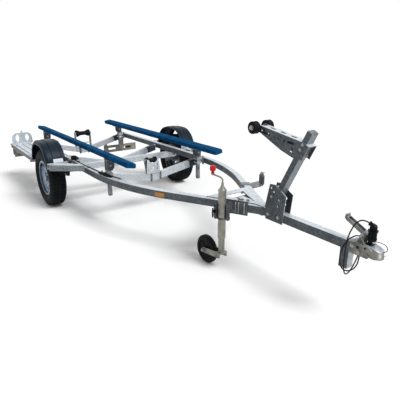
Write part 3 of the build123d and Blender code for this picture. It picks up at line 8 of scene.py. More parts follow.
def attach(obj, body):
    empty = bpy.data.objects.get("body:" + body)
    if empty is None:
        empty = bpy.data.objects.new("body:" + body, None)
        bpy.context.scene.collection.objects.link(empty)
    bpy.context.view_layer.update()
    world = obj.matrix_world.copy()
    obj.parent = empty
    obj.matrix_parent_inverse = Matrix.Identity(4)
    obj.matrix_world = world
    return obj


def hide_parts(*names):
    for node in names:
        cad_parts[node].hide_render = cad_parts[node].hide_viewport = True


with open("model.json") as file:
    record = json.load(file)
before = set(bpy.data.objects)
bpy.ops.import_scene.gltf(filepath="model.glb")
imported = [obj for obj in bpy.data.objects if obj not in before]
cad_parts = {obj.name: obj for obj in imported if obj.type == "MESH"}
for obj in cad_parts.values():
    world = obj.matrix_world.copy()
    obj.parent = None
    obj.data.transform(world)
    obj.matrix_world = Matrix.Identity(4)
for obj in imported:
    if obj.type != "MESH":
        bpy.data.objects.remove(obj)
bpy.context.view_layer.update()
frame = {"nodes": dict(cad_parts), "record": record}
print("frame loaded:", len(frame["nodes"]), "nodes")

middleX = 0.965                               # the trailer's middle, measured forward from the axle


def at(x, y, z):                              # millimetres from the axle's middle on the ground
    return Vector((x / 1000 - middleX, y / 1000, z / 1000))


# shader maths
class Wire:                                   # one socket; arithmetic on it adds Math nodes
    def __init__(self, nodes, socket):
        self.nodes = nodes
        self.socket = socket

    def maths(self, operation, *values):
        return self.nodes.node("Math", {"operation": operation}, dict(enumerate(values)))

    def __add__(self, other):
        return self.maths("ADD", self, other)

    def __radd__(self, other):
        return self.maths("ADD", other, self)

    def __sub__(self, other):
        return self.maths("SUBTRACT", self, other)

    def __rsub__(self, other):
        return self.maths("SUBTRACT", other, self)

    def __mul__(self, other):
        return self.maths("MULTIPLY", self, other)

    def __rmul__(self, other):
        return self.maths("MULTIPLY", other, self)

    def __abs__(self):
        return self.maths("ABSOLUTE", self)

    def atLeast(self, other):
        return self.maths("MAXIMUM", self, other)


class Nodes:                                  # one node tree and the one way in which nodes are added to it
    def __init__(self, tree):
        self.tree = tree

    def node(self, kind, settings=None, sockets=None, outlet=0):
        made = self.tree.nodes.new("ShaderNode" + kind)
        for key, value in (settings or {}).items():
            setattr(made, key, value)
        for key, value in (sockets or {}).items():
            self.feed(made.inputs[key], value)
        return Wire(self, made.outputs[outlet])

    def feed(self, socket, value):
        if isinstance(value, Wire):
            self.tree.links.new(value.socket, socket)
        else:
            socket.default_value = value

    def ramp(self, value, low, high, a=0.0, b=1.0):
        return self.node("MapRange", None, {0: value, 1: low, 2: high, 3: a, 4: b})

    def mix(self, factor, a, b):
        return self.node("Mix", {"data_type": "RGBA"}, {0: factor, 6: a, 7: b}, 2)


class Finish(Nodes):                          # one material: its shader and the nodes that feed it
    def __init__(self, name, **constants):
        self.material = bpy.data.materials.new(name)
        self.material.use_nodes = True
        super().__init__(self.material.node_tree)
        self.shader = self.tree.nodes["Principled BSDF"]
        self.set(**constants)
        self.place = self.node("TexCoord", outlet="Object")

    def set(self, **values):
        for key, value in values.items():
            self.feed(self.shader.inputs[key.replace("_", " ")], value)
        return self

    def noise(self, scale, detail=3, roughness=0.55):
        sockets = {"Vector": self.place, "Scale": scale, "Detail": detail, "Roughness": roughness}
        return self.node("TexNoise", None, sockets)

    def cells(self, scale, outlet):
        return self.node("TexVoronoi", None, {"Vector": self.place, "Scale": scale}, outlet)

    def axis(self, vector, index):
        return self.node("SeparateXYZ", None, {0: vector}, index)

    def bump(self, height, strength, distance):
        sockets = {"Strength": strength, "Distance": distance, "Height": height}
        return self.set(Normal=self.node("Bump", None, sockets))


def rgb(r, g, b):
    return (r, g, b, 1.0)


def grey(value):
    return rgb(value, value, value)


# finishes
def makeGalvanised():
    # painted light: crest and pale are the lit tones of faces turned up, shade and slate the painted shade of
    # faces turned sideways or down
    look = {"litTopCrest": rgb(0.70, 0.755, 0.80), "pale": rgb(0.35, 0.385, 0.42),
            "shade": rgb(0.026, 0.034, 0.041), "shadedSlate": rgb(0.105, 0.122, 0.137), "spangle": 120, "drift": 12}
    f = Finish("hot dip zinc", Metallic=0.45, Roughness=0.42)
    grain = f.node("SeparateColor", None, {0: f.cells(look["spangle"], "Color")}, 0)
    drift = f.noise(look["drift"], 5, 0.65)
    fine = f.noise(85, 4, 0.6)
    tone = f.ramp(drift * 0.46 + fine * 0.32 + grain * 0.22, 0.32, 0.68)
    # painted top light on faces turned up, painted shade on faces turned sideways or down
    facing = f.node("NewGeometry", outlet="True Normal")
    across = abs(f.axis(facing, 1))
    rise = f.axis(facing, 2)
    paintedTopLight = f.ramp(rise, 0.2, 0.9, 0.0, 0.4)
    paintedSideAndUnderShade = f.ramp(across, 0.4, 0.7).atLeast(f.ramp(rise, -0.15, -0.5, 0.0, 0.75))
    # bright is the painted lit tone, dull the painted shaded tone
    bright = f.mix(tone * 0.75 + paintedTopLight, look["pale"], look["litTopCrest"])
    dull = f.mix(tone, look["shade"], look["shadedSlate"])
    f.set(Base_Color=f.mix(paintedSideAndUnderShade, bright, dull), Roughness=0.50 - tone * 0.14 + grain * 0.06)
    return f.bump(grain * 0.3 + fine, 0.12, 0.0006).material


def makeTyreRubber():
    f = Finish("tyre rubber", Roughness=0.72, Specular_IOR_Level=0.1)
    dust = f.ramp(f.noise(14, 5, 0.6), 0.42, 0.75)
    f.set(Base_Color=f.mix(dust * 0.5, rgb(0.003, 0.004, 0.005), rgb(0.012, 0.014, 0.016)),
          Roughness=0.6 + dust * 0.2)
    return f.bump(f.noise(420, 3), 0.15, 0.0004).material


def makeMoulded(name, colour, lighter, grain, rough, bump=0.2, shine=0.4):
    f = Finish(name, Roughness=rough, Specular_IOR_Level=shine)
    drift = f.ramp(f.noise(7, 4), 0.35, 0.7)
    f.set(Base_Color=f.mix(drift, colour, lighter), Roughness=rough - 0.06 + drift * 0.12)
    return f.bump(f.noise(grain, 2), bump, 0.0003).material


def makePlated(name, pale, dark, metallic, rough=0.36, shadeAndDirt=None):
    f = Finish(name, Metallic=metallic, Roughness=rough)
    drift = f.ramp(f.noise(16, 5, 0.65), 0.32, 0.72)
    specks = f.ramp(f.noise(180, 3), 0.45, 0.75)
    tone = f.mix(drift * 0.75 + specks * 0.25, dark, pale)
    if shadeAndDirt:                                  # painted shade and road dirt on the inboard side of the wheel disc: darker and less metallic there
        inboard = f.ramp(abs(f.axis(f.place, 1)), shadeAndDirt["plane"] - shadeAndDirt["fade"], shadeAndDirt["plane"], 1.0, 0.0)
        tone = f.mix(inboard, tone, f.mix(drift, shadeAndDirt["deep"], shadeAndDirt["dust"]))
        f.set(Metallic=(1 - inboard) * metallic)
    f.set(Base_Color=tone, Roughness=rough + 0.1 - drift * 0.12)
    return f.bump(f.noise(300, 3), 0.08, 0.0004).material


def makeCarpet():
    look = {"blue": rgb(0.002, 0.082, 0.225), "deep": rgb(0.001, 0.018, 0.056),
            "dusty": rgb(0.010, 0.150, 0.33)}
    f = Finish("blue marine carpet", Roughness=0.95, Specular_IOR_Level=0.06)
    pile = f.noise(1500, 2)
    tufts = f.noise(260, 4, 0.7)
    patches = f.ramp(f.noise(11, 4, 0.6), 0.4, 0.72)
    shade = f.ramp(tufts * 0.6 + pile * 0.4, 0.35, 0.68)
    body = f.mix(shade, look["deep"], look["blue"])
    f.set(Base_Color=f.mix(patches * 0.4, body, look["dusty"]))
    return f.bump(tufts + pile * 0.6, 0.6, 0.0015).material


def makeLensPlastic(name, deep, bright):
    f = Finish(name, Roughness=0.18, Coat_Weight=0.5, Coat_Roughness=0.08)
    prisms = f.ramp(f.cells(260, "Distance"), 0.0, 0.5)
    f.set(Base_Color=f.mix(prisms, bright, deep))
    return f.bump(prisms, 0.25, 0.0006).material


def makeCasting():                            # plated casting: warm grey sides, and a paler top that is painted top light
    look = {"side": rgb(0.30, 0.285, 0.245), "sideDark": rgb(0.10, 0.10, 0.095),
            "top": rgb(0.56, 0.61, 0.65), "topDark": rgb(0.17, 0.20, 0.235)}
    f = Finish("coupling zinc", Metallic=0.5, Roughness=0.4)
    tone = f.ramp(f.noise(22, 5, 0.65) * 0.7 + f.noise(160, 3) * 0.3, 0.36, 0.66)
    # painted top light: faces turned up take the pale top tones
    lift = f.ramp(f.axis(f.node("NewGeometry", outlet="True Normal"), 2), 0.25, 0.8)
    side = f.mix(tone, look["sideDark"], look["side"])
    top = f.mix(tone, look["topDark"], look["top"])
    f.set(Base_Color=f.mix(lift, side, top), Roughness=0.5 - tone * 0.12)
    return f.bump(f.noise(300, 3), 0.1, 0.0004).material


galvanised = makeGalvanised()
tyreRubber = makeTyreRubber()
# painted shade and road dirt: the inboard face of each rim is darkened and made less metallic
paintedShadeAndDirt = {"plane": 0.8125, "fade": 0.008, "deep": rgb(0.006, 0.006, 0.007),
            "dust": rgb(0.028, 0.020, 0.016)}
# silver rim paint whose pale and dark tones are tinted blue as a painted reflection
rimSilver = makePlated("silver rim paint", rgb(0.31, 0.40, 0.50), rgb(0.08, 0.12, 0.18),
                       metallic=0.65, rough=0.28, shadeAndDirt=paintedShadeAndDirt)
hubZinc = makePlated("zinc plated hub", rgb(0.50, 0.52, 0.54), rgb(0.2, 0.21, 0.22), metallic=0.7)
yellowZinc = makePlated("yellow zinc", rgb(0.36, 0.36, 0.31), rgb(0.13, 0.128, 0.106), metallic=0.6)
couplingZinc = makeCasting()
boltZinc = makePlated("bolt zinc", rgb(0.52, 0.53, 0.54), rgb(0.2, 0.205, 0.215), metallic=0.75, rough=0.3)
darkSteel = makePlated("dark zinc", rgb(0.135, 0.15, 0.17), rgb(0.028, 0.033, 0.041), metallic=0.6,
                       rough=0.45)
postZinc = makePlated("dull zinc", rgb(0.36, 0.39, 0.42), rgb(0.07, 0.08, 0.09), metallic=0.55, rough=0.42)
palePad = makeMoulded("pale pad", rgb(0.62, 0.66, 0.72), rgb(0.74, 0.77, 0.82),
                      grain=900, rough=0.35, bump=0.05)
darkSleeve = makeMoulded("dark sleeve", rgb(0.014, 0.024, 0.038), rgb(0.03, 0.045, 0.066),
                         grain=500, rough=0.5)
# the fender's black is tinted blue as a painted reflection of the bluish highlight on its top
fenderBlack = makeMoulded("fender plastic", rgb(0.003, 0.010, 0.020), rgb(0.007, 0.019, 0.036),
                          grain=700, rough=0.42, bump=0.12, shine=0.12)
rollerRubber = makeMoulded("roller rubber", rgb(0.006, 0.006, 0.007), rgb(0.011, 0.012, 0.014),
                           grain=500, rough=0.55, shine=0.09)
blackPlastic = makeMoulded("black plastic", rgb(0.004, 0.005, 0.006), rgb(0.008, 0.009, 0.012),
                           grain=900, rough=0.4, shine=0.09)
sheath = makeMoulded("cable sheath", rgb(0.005, 0.005, 0.006), rgb(0.009, 0.009, 0.010),
                     grain=1400, rough=0.45, bump=0.15, shine=0.14)
redPlastic = makeMoulded("red plastic", rgb(0.46, 0.006, 0.006), rgb(0.60, 0.018, 0.014),
                         grain=700, rough=0.3, bump=0.08, shine=0.25)
carpet = makeCarpet()
redLens = makeLensPlastic("red lens", rgb(0.22, 0.003, 0.004), rgb(0.50, 0.008, 0.010))
amberLens = makeLensPlastic("amber lens", rgb(0.42, 0.155, 0.001), rgb(0.78, 0.34, 0.003))

finishOfSlot = {
    "galvanised_frame": galvanised, "tyre_rubber": tyreRubber, "rim_steel": rimSilver, "hub_zinc": hubZinc,
    "fender_plastic": fenderBlack, "bunk_carpet": carpet, "roller_rubber": rollerRubber,
    "coupling_zinc": couplingZinc, "black_plastic": blackPlastic, "cable_sheath": sheath,
    "jockey_zinc": yellowZinc, "red_plastic": redPlastic, "lamp_zinc": yellowZinc,
    "lamp_lens": blackPlastic, "amber_lens": amberLens,
}
finishOfNode = {"jockey_clamp": darkSteel, "bunk_posts": postZinc, "spare_carrier": postZinc}
slotOfNode = {entry["node"]: entry["material_slot"] for entry in frame["record"]["subparts"]}
for nodeName, thing in frame["nodes"].items():
    thing.data.materials.clear()
    thing.data.materials.append(finishOfNode.get(nodeName) or finishOfSlot[slotOfNode[nodeName]])
print("finishes set")


# cable
cableSettings = {
    "diameter": 0.008, "length": 1.214,
    "route": ((3134, 0, 417), (3134, 0, 380), (3126, -12, 338), (3104, -38, 316), (3086, -70, 328),
              (3078, -92, 368), (3076, -99, 416), (3079, -92, 465), (3085, -64, 507), (3092, -18, 524),
              (3097, 30, 521), (3096, 68, 490), (3089, 82, 442), (3082, 80, 390), (3078, 64, 340),
              (3080, 26, 301), (3088, -22, 286), (3098, -66, 306), (3106, -94, 350), (3110, -104, 402),
              (3111, -108, 456), (3112, -106, 508), (3114, -98, 558), (3121, -82, 602), (3134, -60, 640),
              (3156.686, -31.929, 647.907), (3176.503, -15.414, 632.594)),
}


def makeCable(s):
    route = s["route"]
    line = bpy.data.curves.new("cableLine", "CURVE")
    line.dimensions = "3D"
    line.bevel_depth = s["diameter"] / 2
    line.bevel_resolution = 3
    line.resolution_u = 6
    line.use_fill_caps = True
    spline = line.splines.new("NURBS")
    spline.points.add(len(route) - 1)
    for point, where in zip(spline.points, route):
        point.co = (*at(*where), 1.0)
    spline.order_u = 3
    spline.use_endpoint_u = True
    cable = bpy.data.objects.new("trailerCable", line)
    bpy.context.collection.objects.link(cable)
    cable.data.materials.append(sheath)
    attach(cable, "frame")
    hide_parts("cable")
    tuple(at(*route[0]))


makeCable(cableSettings)
print("cable made")


# mesh helpers
def frameOf(place, axis, turn=0.0):           # matrix with Z along the axis, turned about it
    toward = Vector(axis).normalized().to_track_quat("Z", "Y").to_matrix().to_4x4()
    return Matrix.Translation(place) @ toward @ Matrix.Rotation(turn, 4, "Z")


def addTurned(mesh, profile, matrix, steps, closed=True):      # profile of (radius, height) pairs in metres
    rings = []
    for radius, height in profile:
        if radius < 1e-6:
            rings.append([mesh.verts.new(matrix @ Vector((0, 0, height)))])
        else:
            turns = [2 * math.pi * k / steps for k in range(steps)]
            around = [Vector((radius * math.cos(a), radius * math.sin(a), height)) for a in turns]
            rings.append([mesh.verts.new(matrix @ place) for place in around])
    pairs = list(zip(rings, rings[1:]))
    if closed and len(rings[0]) > 1 and len(rings[-1]) > 1:
        pairs.append((rings[-1], rings[0]))
    for low, high in pairs:
        for k in range(steps):
            j = (k + 1) % steps
            if len(low) == 1 and len(high) > 1:
                mesh.faces.new((low[0], high[k], high[j]))
            elif len(high) == 1 and len(low) > 1:
                mesh.faces.new((low[k], high[0], low[j]))
            elif len(low) > 1:
                mesh.faces.new((low[k], high[k], high[j], low[j]))


def addBar(mesh, matrix, size, edge=0.0012):  # block with eased edges, centred on the matrix
    made = bmesh.ops.create_cube(mesh, size=1.0, matrix=matrix @ Matrix.Diagonal((*size, 1.0)))
    edges = {e for v in made["verts"] for e in v.link_edges}
    bmesh.ops.bevel(mesh, geom=list(edges), offset=edge, segments=2, profile=0.6, affect="EDGES")


# flat outline in the matrix's XY, thickened along Z
def addPlate(mesh, outline, matrix, thick, edge):
    low = [mesh.verts.new(matrix @ Vector((x, y, 0))) for x, y in outline]
    high = [mesh.verts.new(matrix @ Vector((x, y, thick))) for x, y in outline]
    faces = [mesh.faces.new(list(reversed(low))), mesh.faces.new(high)]
    for k in range(len(outline)):
        j = (k + 1) % len(outline)
        faces.append(mesh.faces.new((low[k], low[j], high[j], high[k])))
    bmesh.ops.recalc_face_normals(mesh, faces=faces)
    rim = list(faces[0].edges) + list(faces[1].edges)
    bmesh.ops.bevel(mesh, geom=rim, offset=edge, segments=1, affect="EDGES")


def rounded(points, radius, steps):           # the corners of a run of points, eased into curves
    out = [points[0]]
    for a, p, b in zip(points, points[1:], points[2:]):
        u, v = a - p, b - p
        angle = u.angle(v)
        cut = min(radius / math.tan(angle / 2), u.length * 0.48, v.length * 0.48)
        start, end = p + u.normalized() * cut, p + v.normalized() * cut
        for i in range(steps + 1):
            t = i / steps
            out.append(start * (1 - t) ** 2 + p * 2 * t * (1 - t) + end * t ** 2)
    return out + [points[-1]]


def addTube(mesh, points, radius, steps, taper=None):          # round rod along the points
    tangent = (points[1] - points[0]).normalized()
    side = tangent.orthogonal().normalized()
    rings = []
    for k, p in enumerate(points):
        ahead = (points[min(k + 1, len(points) - 1)] - points[max(k - 1, 0)]).normalized()
        side = (side - ahead * side.dot(ahead)).normalized()
        up = ahead.cross(side)
        r = radius * (taper[k] if taper else 1.0)
        turns = [2 * math.pi * i / steps for i in range(steps)]
        rings.append([mesh.verts.new(p + (side * math.cos(a) + up * math.sin(a)) * r) for a in turns])
    for low, high in zip(rings, rings[1:]):
        for i in range(steps):
            j = (i + 1) % steps
            mesh.faces.new((low[i], low[j], high[j], high[i]))
    mesh.faces.new(list(reversed(rings[0])))
    mesh.faces.new(rings[-1])


def addBolt(mesh, place, axis, size, stub=0.0):                # hex head on a washer, standing on the place
    matrix = frameOf(place, axis, 0.3)
    base = size * 0.2
    washer = [(0.0, 0.0), (size * 1.12, 0.0), (size * 1.16, size * 0.05), (size * 1.12, base), (0.0, base)]
    addTurned(mesh, washer, matrix, 20, closed=False)
    across = size * 0.84 / math.cos(math.pi / 6)
    top = base + size * 0.66
    head = [(0.0, base), (across, base), (across, top - size * 0.1), (across * 0.84, top), (0.0, top)]
    addTurned(mesh, head, matrix, 6, closed=False)
    if stub:                                  # the thread's end past the nut
        r = size * 0.5
        turns = max(2, int(stub / (size * 0.18)))
        thread = [(r * (0.86 if k % 2 else 1.0), top + stub * k / turns) for k in range(turns + 1)]
        addTurned(mesh, [(0.0, top)] + thread + [(0.0, top + stub)], matrix, 12, closed=False)


def finishPiece(name, mesh, material, body, sharp=32, hides=()):
    bmesh.ops.remove_doubles(mesh, verts=mesh.verts, dist=1e-6)
    bmesh.ops.recalc_face_normals(mesh, faces=mesh.faces)
    data = bpy.data.meshes.new(name)
    mesh.to_mesh(data)
    mesh.free()
    for face in data.polygons:
        face.use_smooth = True
    data.set_sharp_from_angle(angle=math.radians(sharp))
    thing = bpy.data.objects.new(name, data)
    bpy.context.collection.objects.link(thing)
    data.materials.append(material)
    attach(thing, body)
    if hides:
        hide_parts(*hides)
    return thing


# wheels
tyreSettings = {
    "y": 785, "radius": 0.297, "half": 0.0825, "grooveDepth": 0.0075, "pitches": 46, "crown": 0.006,
    "crownHalf": 0.062, "gap": 0.26, "bead": 0.1655, "flange": 0.183, "beadHalf": 0.0587, "steps": 120,
    # tread blocks: from and to across the tread, skew and phase round it
    "bands": ((-0.0655, -0.041, 0.75, 0.0), (-0.0355, -0.0145, 0.55, 0.35), (-0.0095, 0.0095, 0.0, 0.0),
              (0.0145, 0.0355, -0.55, 0.35), (0.041, 0.0655, -0.75, 0.0)),
}
valveSettings = {"turn": 128, "out": 0.150, "seat": 0.030, "long": 0.034, "lean": 0.006, "radius": 0.0052}


def crownAt(s, w):                            # outer radius of the tread at a place across it
    return s["radius"] - s["crown"] * (w / s["crownHalf"]) ** 2


def turnedPlace(matrix, radius, angle, height):
    return matrix @ Vector((radius * math.cos(angle), radius * math.sin(angle), height))


def makeTyre(s, side):
    sign = 1 if side == "left" else -1
    matrix = frameOf(at(0, s["y"] * sign, s["radius"] * 1000), (0, 1, 0))
    mesh = bmesh.new()
    h, low = s["half"], s["grooveDepth"]
    profile = [(s["bead"], -s["beadHalf"]), (s["flange"] + 0.001, -s["beadHalf"]), (0.1905, -0.0665),
               (0.2, -0.0715), (0.2015, -0.0735), (0.209, -0.0762), (0.233, -h), (0.2345, -h - 0.0008),
               (0.237, -h - 0.0008), (0.2385, -h), (0.255, -0.0806), (0.268, -0.0768), (0.27, -0.0752),
               (0.279, -0.0705), (s["radius"] - s["crown"] - low, -0.063), (s["radius"] - low, -0.03),
               (s["radius"] - low, 0.0)]
    mirror = [(r, -w) for r, w in reversed(profile[:-1])]
    inside = [(s["bead"] + 0.012, s["beadHalf"] - 0.012), (0.24, h - 0.018), (0.278, h - 0.03),
              (0.278, -h + 0.03), (0.24, -h + 0.018), (s["bead"] + 0.012, -s["beadHalf"] + 0.012)]
    addTurned(mesh, profile + mirror + inside, matrix, s["steps"])
    step = 2 * math.pi / s["pitches"]
    for w0, w1, skew, phase in s["bands"]:
        span = step * (1 - s["gap"] if skew else 1.0)
        for k in range(s["pitches"]):
            start = (k + phase) * step
            cols, rows = [], 3
            for i in range(rows + 1):
                line = []
                for w in (w0, (w0 + w1) / 2, w1):
                    lean = skew * (0.0095 - abs(w)) / 0.056 * step
                    line.append((start + span * i / rows + lean, w))
                cols.append(line)
            top, foot = [], []
            for line in cols:
                crown = [(crownAt(s, w), a, w) for a, w in line]
                root = [(s["radius"] - low - (0.008 if abs(w) > 0.05 else 0.004), a, w * 1.02) for a,
                        w in line]
                top.append([mesh.verts.new(turnedPlace(matrix, *spot)) for spot in crown])
                foot.append([mesh.verts.new(turnedPlace(matrix, *spot)) for spot in root])
            for i in range(rows):
                for j in range(2):
                    mesh.faces.new((top[i][j], top[i][j + 1], top[i + 1][j + 1], top[i + 1][j]))
                mesh.faces.new((top[i][0], top[i + 1][0], foot[i + 1][0], foot[i][0]))
                mesh.faces.new((top[i][2], foot[i][2], foot[i + 1][2], top[i + 1][2]))
            for j in range(2):
                mesh.faces.new((top[0][j], foot[0][j], foot[0][j + 1], top[0][j + 1]))
                mesh.faces.new((top[rows][j], top[rows][j + 1], foot[rows][j + 1], foot[rows][j]))
                mesh.faces.new((foot[0][j], foot[rows][j], foot[rows][j + 1], foot[0][j + 1]))
    return finishPiece("tyre" + side.title(), mesh, tyreRubber, "wheel_" + side, 34,
                       hides=["tyre_" + side])


def makeValve(s, side):
    sign = 1 if side == "left" else -1
    mesh = bmesh.new()
    turn = math.radians(s["turn"])
    out = Vector((math.cos(turn), 0, math.sin(turn)))
    hub = at(0, tyreSettings["y"] * sign, tyreSettings["radius"] * 1000)
    foot = hub + out * s["out"] + Vector((0, sign * s["seat"], 0))
    tip = foot + Vector((0, sign * s["long"], 0)) - out * s["lean"]
    stem = [foot, foot.lerp(tip, 0.35), foot.lerp(tip, 0.6), foot.lerp(tip, 0.62), tip]
    addTube(mesh, stem, s["radius"], 12, [1.3, 1.05, 0.8, 0.72, 0.7])
    return finishPiece("valve" + side.title(), mesh, rollerRubber, "wheel_" + side)


for side in ("left", "right"):
    makeTyre(tyreSettings, side)
for side in ("left", "right"):
    makeValve(valveSettings, side)
print("wheels dressed")


# bunks
bunkSettings = {"rear": -1330, "front": 1270, "y": 465, "top": 648, "width": 92, "height": 45, "tilt": 10,
                "round": 13, "rings": 150, "swell": 1.3, "flap": (0.004, 0.040, 0.017), "flapThick": 0.0024}


def makeBunk(s, side):
    sign = 1 if side == "left" else -1
    mesh = bmesh.new()
    half, tall, r = s["width"] / 2, s["height"] / 2, s["round"]
    outline = []
    corners = ((half - r, tall - r, 0), (-half + r, tall - r, 90), (-half + r, -tall + r, 180),
               (half - r, -tall + r, 270))
    for cx, cz, start in corners:
        for k in range(7):
            a = math.radians(start + 15 * k)
            outline.append((cx + r * math.cos(a), cz + r * math.sin(a)))
    tilt = math.radians(s["tilt"])
    rings = []
    for i in range(s["rings"] + 1):
        x = s["rear"] + (s["front"] - s["rear"]) * i / s["rings"]
        end = min(i, s["rings"] - i)
        squeeze = {0: 0.88, 1: 0.985}.get(end, 1.0)
        ring = []
        for y, z in outline:
            swell = s["swell"] * noise.noise(Vector((x / 140, y / 60, z / 60 + sign * 9)))
            k = squeeze + (swell / 60 if end > 1 else 0)
            across = y * k * math.cos(tilt) - z * k * math.sin(tilt)
            rise = y * k * math.sin(tilt) + z * k * math.cos(tilt)
            ring.append(mesh.verts.new(at(x, sign * (s["y"] + across), s["top"] - s["height"] / 2 + rise)))
        rings.append(ring)
    count = len(outline)
    for low, high in zip(rings, rings[1:]):
        for k in range(count):
            j = (k + 1) % count
            mesh.faces.new((low[k], low[j], high[j], high[k]))
    for ring, step in ((rings[0], -1), (rings[-1], 1)):
        middle = sum((v.co for v in ring), Vector()) / count
        proud = Vector((step * 0.0004, 0, 0))
        inner = [mesh.verts.new(middle + (v.co - middle) * 0.8 + proud) for v in ring]
        for k in range(count):
            j = (k + 1) % count
            mesh.faces.new((ring[k], ring[j], inner[j], inner[k]))
        mesh.faces.new(inner)
    return finishPiece("bunkCarpet" + side.title(), mesh, carpet, "frame", 50,
                       hides=["bunk_" + side])


def makeBunkFold(s, side):                    # the carpet's folded flaps on both ends of a bunk
    sign = 1 if side == "left" else -1
    tilt = math.radians(s["tilt"])
    near, far, half = s["flap"]
    right = [(near, 0.006 - half), (far, -half), (far, half), (near, half - 0.006)]
    left = [(-far, -half), (-near, 0.006 - half), (-near, half - 0.006), (-far, half)]
    mesh = bmesh.new()
    for x, way in ((s["front"], 1), (s["rear"], -1)):
        centre = at(x, sign * s["y"], s["top"] - s["height"] / 2)
        across = Vector((0, sign * math.cos(tilt), math.sin(tilt)))
        up = Vector((0, -sign * math.sin(tilt), math.cos(tilt)))
        proud = Vector((way * s["flapThick"], 0, 0))
        for corners in (left, right):
            low = [mesh.verts.new(centre + across * p + up * q) for p, q in corners]
            high = [mesh.verts.new(centre + across * p + up * q + proud) for p, q in corners]
            mesh.faces.new(low)
            mesh.faces.new(high)
            for k in range(4):
                mesh.faces.new((low[k], low[(k + 1) % 4], high[(k + 1) % 4], high[k]))
    return finishPiece("carpetFold" + side.title(), mesh, carpet, "frame", 40)


for side in ("left", "right"):
    makeBunk(bunkSettings, side)
    makeBunkFold(bunkSettings, side)
print("bunks covered")


# hardware helpers
railSettings = {"y": 583.0, "bendStart": 782.0, "radius": 1963.0, "angle": 27.6, "half": 30.0, "z": 465.0,
                "top": 495.0}


def railAt(x):                                # centre line of the left rail: its Y and heading
    s = railSettings
    stop = s["bendStart"] + s["radius"] * math.sin(math.radians(s["angle"]))
    if x <= s["bendStart"]:
        return s["y"], 0.0
    if x <= stop:
        turn = math.asin((x - s["bendStart"]) / s["radius"])
        return s["y"] - s["radius"] * (1 - math.cos(turn)), turn
    turn = math.radians(s["angle"])
    return s["y"] - s["radius"] * (1 - math.cos(turn)) - (x - stop) * math.tan(turn), turn


def railFrame(x, sign, z):                    # X forward along the rail, Y outward on the left, Z up
    y, heading = railAt(x)
    return Matrix.Translation(at(x, sign * y, z)) @ Matrix.Rotation(-sign * heading, 4, "Z")


def local(matrix, x, y, z):                   # millimetres in a frame to a place
    return matrix @ Vector((x / 1000, y / 1000, z / 1000))


def axes(x, y, z):                            # a turning whose X, Y and Z point these ways
    return Matrix((x, y, z)).transposed().to_4x4()


def ringOutline(wide, tall, corner, steps=3):
    out = []
    x, y = wide / 2 - corner, tall / 2 - corner
    for cx, cy, start in ((x, y, 0), (-x, y, 90), (-x, -y, 180), (x, -y, 270)):
        for k in range(steps + 1):
            a = math.radians(start + 90 * k / steps)
            out.append((cx + corner * math.cos(a), cy + corner * math.sin(a)))
    return out


def addSleeve(mesh, matrix, outer, inner, length, corner=0.008, edge=0.0015):   # open box sleeve along Z
    big = ringOutline(*outer, corner)
    slim = ringOutline(outer[0] - 2 * edge, outer[1] - 2 * edge, corner)
    hole = ringOutline(*inner, corner * 0.8)
    rings = []
    stack = ((hole, 0), (slim, 0), (big, edge), (big, length - edge), (slim, length), (hole, length))
    for outline, z in stack:
        rings.append([mesh.verts.new(matrix @ Vector((x, y, z))) for x, y in outline])
    count = len(big)
    for low, high in zip(rings, rings[1:] + rings[:1]):
        for k in range(count):
            j = (k + 1) % count
            mesh.faces.new((low[k], low[j], high[j], high[k]))


# bent rod: crown across X at Y = 0, legs toward -Y
def addHoop(mesh, matrix, wide, deep, rod, nut):
    half = wide / 2
    run = [local(matrix, x, y, 0) for x, y in ((-half, -deep), (-half, 0), (half, 0), (half, -deep))]
    addTube(mesh, rounded(run, 0.012, 5), rod / 1000, 10)
    axis = matrix.to_3x3() @ Vector((0, -1, 0))
    for side in (-1, 1):
        addBolt(mesh, local(matrix, side * half, -deep + nut + 4, 0), axis, nut / 1000)


def copyOf(node):                             # a CAD node's own mesh, to be reshaped
    source = frame["nodes"][node]
    mesh = bmesh.new()
    mesh.from_mesh(source.data)
    mesh.transform(source.matrix_world)
    bmesh.ops.remove_doubles(mesh, verts=mesh.verts, dist=1e-6)
    return mesh


def sliceMesh(mesh, place, normal, **cleared):
    parts = mesh.verts[:] + mesh.edges[:] + mesh.faces[:]
    bmesh.ops.bisect_plane(mesh, geom=parts, plane_co=place, plane_no=normal, **cleared)
    if cleared:
        bmesh.ops.holes_fill(mesh, edges=[e for e in mesh.edges if e.is_boundary], sides=0)


# cross member sleeves
sleeveSettings = {"x": {"rear": -1100, "middle": -130, "front": 780},
                  "low": {"rear": 298, "middle": 304, "front": 343},
                  "end": 440, "reach": 553, "from": 440, "to": 546,
                  "outer": (0.057, 0.071), "inner": (0.0502, 0.0642)}


def memberPlace(member, y):                   # centre height of a cross member
    s = sleeveSettings
    return s["low"][member] + (s["end"] - s["low"][member]) * abs(y) / s["reach"]


def makeMemberSleeves(s):
    mesh = bmesh.new()
    for member, x in s["x"].items():
        for sign in (-1, 1):
            start = at(x, sign * s["from"], memberPlace(member, s["from"]))
            stop = at(x, sign * s["to"], memberPlace(member, s["to"]))
            along = (stop - start).normalized()
            across = Vector((1, 0, 0))
            matrix = Matrix.Translation(start) @ axes(across, along.cross(across), along)
            addSleeve(mesh, matrix, s["outer"], s["inner"], (stop - start).length)
    return finishPiece("memberSleeves", mesh, darkSleeve, "frame")


# rail end caps and post foot caps
capSettings = {"rearX": -1150, "face": 0.0595, "thick": 0.005, "ribs": 5, "ribPitch": 0.009,
               "postX": (-1020, 870), "postY": 500, "foot": (250, 275), "footFace": 0.0325}


